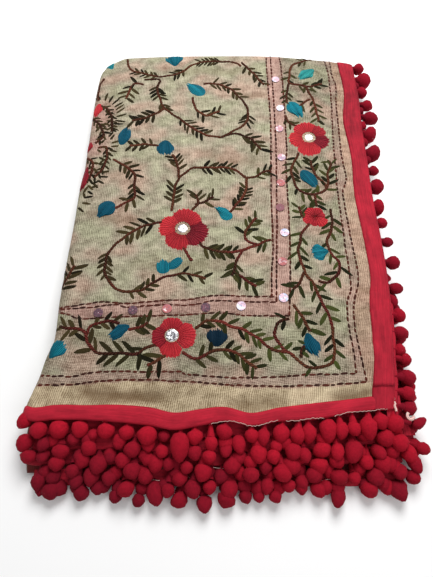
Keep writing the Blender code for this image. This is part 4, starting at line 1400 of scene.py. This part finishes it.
class Ground:
    """The cloth that the thread lies on."""

    def __init__(self, bm):
        self.tree = BVHTree.FromBMesh(bm)

    def lay(self, x, y, up):
        """A place on the cloth, raised by so much."""
        hit, normal, _, _ = self.tree.ray_cast(Vector((x, y, 60)) * MM, -UP)
        if hit is None:
            hit, normal, _, _ = self.tree.find_nearest(Vector((x, y, TOP_HEIGHT - 5)) * MM)
        if normal.z < 0:
            normal = -normal
        return hit / MM + normal * (up - THREAD_SINK)


def satin(bm, ground, x, y, heading, length, width, rise, tone, columns=6):
    """One lens-shaped stitched patch that starts at a place and runs along a heading."""
    run = Vector((math.cos(heading), math.sin(heading)))

    def place(along, across):
        half = width / 2 * math.sin(math.pi * (0.05 + 0.9 * along) ** 0.9) ** 0.5
        side = (across * 2 - 1) * half
        spot = Vector((x, y)) + run * (along * length) + Vector((-run.y, run.x)) * side
        dome = (1 - (across * 2 - 1) ** 2) * min(1.0, 5 * along, 5 * (1 - along))
        return ground.lay(spot.x, spot.y, rise * dome)

    grid(bm, columns, 2, place,
         lambda along, across: (along * length + x, across * width + y), tone=tone)


def add_stem(bm, ground, points):
    """A stem-stitched line: a low round cord whose stitches swell one after another."""
    places, length = walk(points, 1.6)
    last = len(places) - 1
    tint = chance(points[0][0] + points[0][1], 11)

    def place(along, across):
        spot, run = places[round(along * last)]
        angle = math.pi * across
        swell = 0.86 + 0.14 * math.sin(along * length * 2.1) + 0.1 * chance(round(along * last))
        side = math.cos(angle) * STEM_WIDTH / 2 * swell
        stray = STEM_WOBBLE * (math.sin(along * length / 1.9 + tint * 9)
                               + math.sin(along * length / 3.3 + tint * 4)) * 0.6
        shift = Vector((-run.y, run.x)) * (side + stray)
        return ground.lay(spot.x + shift.x, spot.y + shift.y,
                          STEM_RISE * math.sin(angle) * swell)

    grid(bm, last, 4, place, lambda along, across: (along * length, across * 2),
         tone=lambda along, across: 0.5 * tint + 0.5 * math.sin(along * length / 9 + tint * 5))


def add_leaves(bm, ground, points, runs, seed):
    places, _ = walk(points, 0.5)
    last = len(places) - 1
    for start, end, pairs, length in runs:
        for pair in range(pairs):
            for side in (-1, 1):
                number = seed * 50 + pair * 2 + side + round(start * 100)
                share = mix(start, end, (pair + 0.5 + 0.22 * side) / pairs)
                spot, run = places[round(clamp(share) * last)]
                turn = side * math.radians(47 + 11 * chance(number, 1))
                heading = math.atan2(run.y, run.x) + turn
                size = 1 - SHORT_LEAVES * eased(0, 30, spot.x) * eased(-95, -120, spot.y)
                satin(bm, ground, spot.x, spot.y, heading,
                      size * length * (1.08 + 0.2 * chance(number, 2)),
                      size * LEAF_WIDTH * (0.3 + 0.7 * length / LEAF_LENGTH)
                      * (0.97 + 0.2 * chance(number, 3)), LEAF_RISE, chance(number, 4))


def add_fan(bm, ground, x, y, radius, first, last, count, length):
    for index in range(count):
        angle = math.radians(mix(first, last, index / (count - 1)))
        satin(bm, ground, x + radius * math.cos(angle), y + radius * math.sin(angle),
              angle + 0.4 + 0.3 * chance(index, 8), length, FAN_WIDTH, LEAF_RISE,
              chance(index + x, 4))


def add_stitches(bm, ground, points, pitch, fill, swapped):
    """Running stitches along a line, uneven as hand stitches are."""
    line = [(value, place) if swapped else (place, value) for place, value in points]
    places, length = walk(line, 0.4)
    last = len(places) - 1
    travel, index = 0.0, 0
    while travel < length - 1.5:
        stitch = pitch * (1 + 0.28 * chance(index + points[0][1], 2))
        spot, run = places[min(last, round(travel / length * last))]
        heading = math.atan2(run.y, run.x) + 0.06 * chance(index, 3)
        satin(bm, ground, spot.x, spot.y + 0.2 * chance(index, 5), heading,
              stitch * (fill + 0.08 * chance(index, 7)),
              STITCH_WIDTH * (1 + 0.12 * chance(index, 9)), STITCH_RISE,
              chance(index, 6), columns=4)
        travel += stitch
        index += 1


def threads_across(width):
    """How many long stitches lie side by side, and where in its stitch a place lies."""
    count = max(6, round(width / THREAD_STEP))

    def local(share):
        index = min(count - 1, int(share * count))
        return index, share * count - index

    return count, local


def add_bud(bm, ground, x, y, length, width, degrees, base, end, bend, tone):
    """A bud filled with long stitches that fan out from its base; its far edge is ragged."""
    heading = math.radians(degrees)
    run = Vector((math.cos(heading), math.sin(heading)))
    side = Vector((-run.y, run.x))
    count, local = threads_across(width)
    profile = ((0, base), (BUD_WIDEST, 1.0), (1, end))

    def place(across, along):
        aside = across * 2 - 1
        index, share = local(across)
        ragged = BUD_RAGGED * (chance(index + x, 3) - (2 * share - 1) ** 2)
        spread = along * (1.0 - 0.22 * aside ** 2 + ragged) + (1 - along) * 0.2 * aside ** 2
        half = width / 2 * read(profile, along)
        spot = Vector((x, y)) + run * (spread * length)
        spot += side * (aside * half + bend * length * along ** 2)
        ridge = 0.78 + 0.22 * math.sin(math.pi * share)
        dome = (1 - abs(aside) ** 4) * min(1.0, 4 * along, 5 * (1 - along) + 0.1) * ridge
        return ground.lay(spot.x, spot.y, BUD_RISE * dome)

    grid(bm, count * 4, 6, place,
         lambda across, along: (along * length + x, across * width + y),
         tone=lambda across, along: tone + 0.09 * chance(local(across)[0] + y, 6))


def add_petal(bm, ground, x, y, heading, spread, inner, outer, tone):
    """One petal of long stitches that run out from the middle to a ragged round edge."""
    count, local = threads_across(spread * outer)

    def place(around, out):
        aside = around * 2 - 1
        index, share = local(around)
        turn = heading + aside * spread / 2
        ragged = PETAL_RAGGED * (chance(index + x, 3) - (2 * share - 1) ** 2)
        rim = outer * (1.0 - 0.24 * abs(aside) ** 3 + ragged)
        reach = mix(inner, rim, out)
        ridge = 0.75 + 0.25 * math.sin(math.pi * share)
        dome = min(1.0, 4 * (1 - out) + 0.1) * (1 - 0.5 * abs(aside) ** 5) * ridge
        return ground.lay(x + reach * math.cos(turn), y + reach * math.sin(turn),
                          BUD_RISE * dome)

    grid(bm, count * 4, 5, place,
         lambda around, out: (out * (outer - inner) + heading * 9, around * spread * outer),
         tone=lambda around, out: tone + 0.16 * chance(local(around)[0] + y, 6))


def add_mirror_ring(bm, ground, x, y, radius, width, tone):
    """Stitches that hold a mirror: short, close, slanting outwards from its edge."""
    start = radius - RING_OVERLAP
    for index in range(RING_STITCHES):
        angle = TURN * index / RING_STITCHES
        satin(bm, ground, x + start * math.cos(angle), y + start * math.sin(angle),
              angle + RING_SLANT, (width + 0.8) * (1 + 0.15 * chance(index, 2)),
              TURN * (radius + width / 2) / RING_STITCHES * 1.15, RING_RISE,
              tone + 0.5 * chance(index + x, 4), columns=3)


def add_disc(bm, ground, x, y, radius, dish, tone, sides):
    """A thin disc with a rolled edge and a dished middle."""
    made = bmesh.ops.create_circle(bm, cap_ends=True, cap_tris=False, segments=sides,
                                   radius=radius * MM)["verts"]
    middle = ground.lay(x, y, DISC_HEIGHT)
    faces = list({face for point in made for face in point.link_faces})
    tones = bm.verts.layers.float["tone"]
    near = bmesh.ops.inset_individual(bm, faces=faces, thickness=radius * 0.12 * MM,
                                      depth=0.12 * MM)
    inner = bmesh.ops.inset_individual(bm, faces=faces, thickness=radius * 0.45 * MM,
                                       depth=-dish * MM)
    grown = {point for face in faces + near["faces"] + inner["faces"] for point in face.verts}
    tilt = Matrix.Rotation(0.07 * chance(x, 1), 3, "X") @ Matrix.Rotation(
        0.07 * chance(y, 2), 3, "Y")
    for point in grown:
        point.co = tilt @ point.co + middle * MM
        point[tones] = tone


def embroider(ground):
    """Everything stitched to the cloth, one mesh for each kind of thread."""
    stems, leaves, stitches, buds, petals, rings, mirrors, sequins, crosses = (
        new_mesh() for _ in range(9))
    for index, (points, runs) in enumerate(VINES):
        add_stem(stems, ground, points)
        add_leaves(leaves, ground, points, runs, index)
    for fan in FANS:
        add_fan(leaves, ground, *fan)
    for names, fill in (("ABC", CLOSE_FILL), ("DE", STITCH_FILL)):
        for lines, pitch in ((SIDE_LINES, SIDE_STITCH_PITCH), (FRONT_LINES, FRONT_STITCH_PITCH)):
            for name in names:
                add_stitches(stitches, ground, lines[name], pitch, fill, lines is SIDE_LINES)
    for bud in BUDS:
        add_bud(buds, ground, *bud)
    for patch in RED_PATCHES:
        add_bud(petals, ground, *patch)
    for x, y, radius, mirror, width, ring_tone, leaf_shapes in FLOWERS:
        for degrees, spread, reach, tone in leaf_shapes:
            add_petal(petals, ground, x, y, math.radians(degrees), math.radians(spread),
                      max(0.4, mirror + 0.7 * width), radius * reach, tone)
        if mirror:
            add_mirror_ring(rings, ground, x, y, mirror, width, ring_tone)
            add_disc(mirrors, ground, x, y, mirror, MIRROR_DISH, 1.0, MIRROR_SIDES)
    for x, y, tone in SEQUINS:
        add_disc(sequins, ground, x, y, SEQUIN_RADIUS, SEQUIN_DISH, tone, SEQUIN_SIDES)
        for degrees in CROSS_TURNS:
            angle = math.radians(degrees)
            satin(crosses, ground, x - CROSS_LENGTH / 2 * math.cos(angle),
                  y - CROSS_LENGTH / 2 * math.sin(angle), angle, CROSS_LENGTH, 0.5, 1.2, -0.5,
                  columns=3)
    return {"stems": stems, "leaves": leaves, "running_stitches": stitches, "buds": buds,
            "petals": petals, "mirror_stitches": rings, "mirrors": mirrors,
            "sequins": sequins, "sequin_stitches": crosses}


# ---------------------------------------------------------------- loose threads

# Pale raw threads: height above the floor, then plan places
RAW_THREADS = (
    (8.4, ((-12, -181), (0, -182.5), (9, -181.5), (18, -182.5))),
    (6.2, ((-50, -188), (-38, -189), (-26, -187), (-14, -188.5))),
    (5.6, ((44, -187), (56, -189), (66, -188), (74, -190))),
    (11.0, ((94, -171), (99, -172.5), (103, -171))),
)
FRAYED_EDGE = (-9, 100, 110)     # along the front tape: from and to X, and how many places
FRAYED_RUNS = ((0, 42), (46, 70), (76, 110))
CORNER_FRAY = (105.4, -136, -150, 20.9)    # at its end: X, from and to Y, height
CORNER_LOOP = (115.5, -152, 15.5, 2.3, 2.2)    # a curl of cloth: place, height, radius, width
LOOP_STEP = 0.5
LOOP_CLIMB = 0.6


def add_thread(bm, spots, width):
    """A fine thread through places in space."""
    last = len(spots) - 1

    def place(along, around):
        index = round(along * last)
        run = spots[min(last, index + 1)] - spots[max(0, index - 1)]
        side = run.cross(UP).normalized()
        lift = side.cross(run).normalized()
        angle = TURN * around
        return spots[index] + (side * math.cos(angle) + lift * math.sin(angle)) * width / 2

    points = grid(bm, last, 4, place, lambda along, around: (along * last, around * 2))
    bmesh.ops.remove_doubles(bm, verts=points, dist=0.002 * MM)


def raw_threads(ground):
    """The frayed selvedge along the front tape's lower edge, and stray threads below it."""
    bm = new_mesh()
    spots = []
    start, end, count = FRAYED_EDGE
    for index in range(count):
        x = mix(start, end, index / (count - 1))
        y = read(FRONT_END, x) - 0.5 + 0.35 * chance(index, 1) + 0.4 * math.sin(x / 3.7)
        up = ground.lay(x, y + 1.5, TAPE_THICKNESS + 0.1).z
        spots.append(Vector((x, y, up + 0.2 * chance(index, 2))))
    for first, last in FRAYED_RUNS:
        add_thread(bm, spots[first:last], 0.42)
    x, start, end, height = CORNER_FRAY
    frayed = [Vector((x + 0.4 * chance(index, 3), mix(start, end, index / 12), height))
              for index in range(13)]
    add_thread(bm, frayed, 0.7)
    add_thread(bm, frayed[7:], 1.5)
    x, y, height, radius, width = CORNER_LOOP
    turns = [LOOP_STEP * index for index in range(9)]
    add_thread(bm, [Vector((x + radius * math.cos(turn), y - radius * math.sin(turn),
                            height + LOOP_CLIMB * turn)) for turn in turns], width)
    for height, points in RAW_THREADS:
        places, _ = walk(points, 2.0)
        add_thread(bm, [Vector((spot.x, spot.y, height + 0.5 * chance(index, 4)))
                        for index, (spot, _) in enumerate(places)], 0.5)
    return bm


# ---------------------------------------------------------------- the whole piece

def lower_side_places(row, first, last):
    """Where a lower side row's pompoms hang: evenly along it, and in its gaps."""
    places = []
    for index in range(first, last + 1):
        y = (index + 0.5 * (row % 2)) * SIDE_PITCH + 3 * chance(index, row)
        x = layer_side(row, y) + LOWER_SIDE_REACH + 0.8 * chance(index, row + 3)
        places.append((y, x, 5 + 0.9 * chance(index, row + 5), 4.8 + 0.5 * chance(index, 9)))
    return places + [(y, layer_side(row, y) + reach, 4.8, 4.8)
                     for own, y, reach in SIDE_FILLERS if own == row]


def hang_pompoms(felt):
    """One piece for each row: those of the top layer, and those of the layers under it."""
    rows = [("front", row, front_trim(row, places)) for row, places in enumerate(FRONT_POMPOMS)]
    rows.append(("side", 0, side_trim(0, SIDE_POMPOMS, *SIDE_ROW_TOP)))
    for row, braid, middle, first, last in LOWER_SIDE_ROWS:
        places = lower_side_places(row, first, last)
        rows.append(("side", row, side_trim(row, places, braid, middle)))
    on_top, on_under = [], []
    for side, row, bm in rows:
        made = piece("%s_pompoms_%d" % (side, row + 1), bm, felt, "pompom",
                     "pompoms_%s_%d" % (side, row + 1))
        (on_under if row else on_top).append(made)
    return on_top, on_under


def lay_lower_tapes(tape):
    for side, rows, flat in LOWER_TAPES:
        for row in range(rows):
            strip = piece("%s_lower_tape_%d" % (side, row + 1),
                          trim_tape(row, side == "side"), tape, "tape")


def stitch_cloth(ground):
    """One piece for each kind of thread, mirror and sequin."""
    finishes = {
        "stems": (stem_material(), "stem_thread"),
        "leaves": (leaf_material(), "leaf_thread"),
        "running_stitches": (thread_material("Running stitch thread", RUNNING_THREAD,
                                             pitch=0.6), "stem_thread"),
        "buds": (bud_material(), "bud_thread"),
        "petals": (thread_material("Red thread", RED_THREAD, pitch=0.85), "flower_thread"),
        "mirror_stitches": (thread_material("Mirror thread", MIRROR_THREAD, pitch=0.5),
                            "flower_thread"),
        "mirrors": (mirror_material(), "mirror"),
        "sequins": (sequin_material(), "mirror"),
        "sequin_stitches": (thread_material("Sequin thread", SEQUIN_THREAD, pitch=0.4),
                            "stem_thread"),
    }
    made = [piece(name, bm, *finishes[name]) for name, bm in embroider(ground).items()]
    pale = thread_material("Raw edge thread", RAW_THREAD, pitch=0.4)
    return made + [piece("raw_threads", raw_threads(ground), pale, "cloth")]


def build():
    tape = tape_material()
    top_mesh = top_cloth()
    ground = Ground(top_mesh)
    top = thicken(piece("top_cloth", top_mesh, cloth_material("Shawl cloth"), "cloth",
                        "top_layer"), CLOTH_THICKNESS)
    under = piece("folded_cloth", hidden_layers(),
                  cloth_material("Folded cloth", seed=40.0, embroidered=True),
                  "hidden_cloth", "folded_layers")
    tape_side = thicken(piece("side_tape", side_tape(), tape, "tape", "tape_side"), TAPE_WALL)
    tape_front = thicken(piece("front_tape", front_tape(), tape, "tape", "tape_front"),
                         TAPE_WALL)
    on_top, on_under = hang_pompoms(felt_material())
    lay_lower_tapes(tape)
    on_top += stitch_cloth(ground)
    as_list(on_top)
    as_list(on_under)


FLOOR_SIZE = 6000
SKY_STRENGTH = 0.4
# Lamps: place in metres, size in metres and power in watts
LAMPS = (("key", (0.1, 0.38, 0.64), 0.5, 6.2), ("fill", (0.5, -0.6, 0.9), 0.6, 2.0))
LAMP_TARGET = Vector((0, -0.02, 0))
LENS = 28.08
CAMERA_PLACE = (-0.0057, -0.1982, 0.3053)
CAMERA_TILT = 24.87              # degrees from straight down


def studio():
    """A pale floor, a soft light from above and a camera that looks down at the front."""
    bm = new_mesh()
    grid(bm, 4, 4, lambda across, up: Vector(((across - 0.5) * FLOOR_SIZE,
                                              (up - 0.5) * FLOOR_SIZE, -0.05)))
    mesh = bpy.data.meshes.new("floor")
    bm.to_mesh(mesh)
    bm.free()
    mesh.materials.append(floor_material())
    floor = bpy.data.objects.new("floor", mesh)
    bpy.context.collection.objects.link(floor)
    scene = bpy.context.scene
    scene.view_settings.view_transform = "Standard"
    world = bpy.data.worlds.new("Studio")
    world.use_nodes = True
    sky = world.node_tree.nodes["Background"]
    sky.inputs["Color"].default_value = (1, 1, 1, 1)
    sky.inputs["Strength"].default_value = SKY_STRENGTH
    scene.world = world
    for name, location, size, power in LAMPS:
        lamp = bpy.data.lights.new(name, "AREA")
        lamp.shape = "DISK"
        lamp.size = size
        lamp.energy = power
        holder = bpy.data.objects.new(name, lamp)
        holder.location = location
        aim = LAMP_TARGET - Vector(location)
        holder.rotation_euler = aim.to_track_quat("-Z", "Y").to_euler()
        bpy.context.collection.objects.link(holder)
    lens = bpy.data.cameras.new("camera")
    lens.lens = LENS
    lens.sensor_width = 36.0
    lens.clip_start = 0.01
    camera = bpy.data.objects.new("camera", lens)
    camera.location = CAMERA_PLACE
    camera.rotation_euler = (math.radians(CAMERA_TILT), 0, 0)
    bpy.context.collection.objects.link(camera)
    scene.camera = camera


build()
studio()
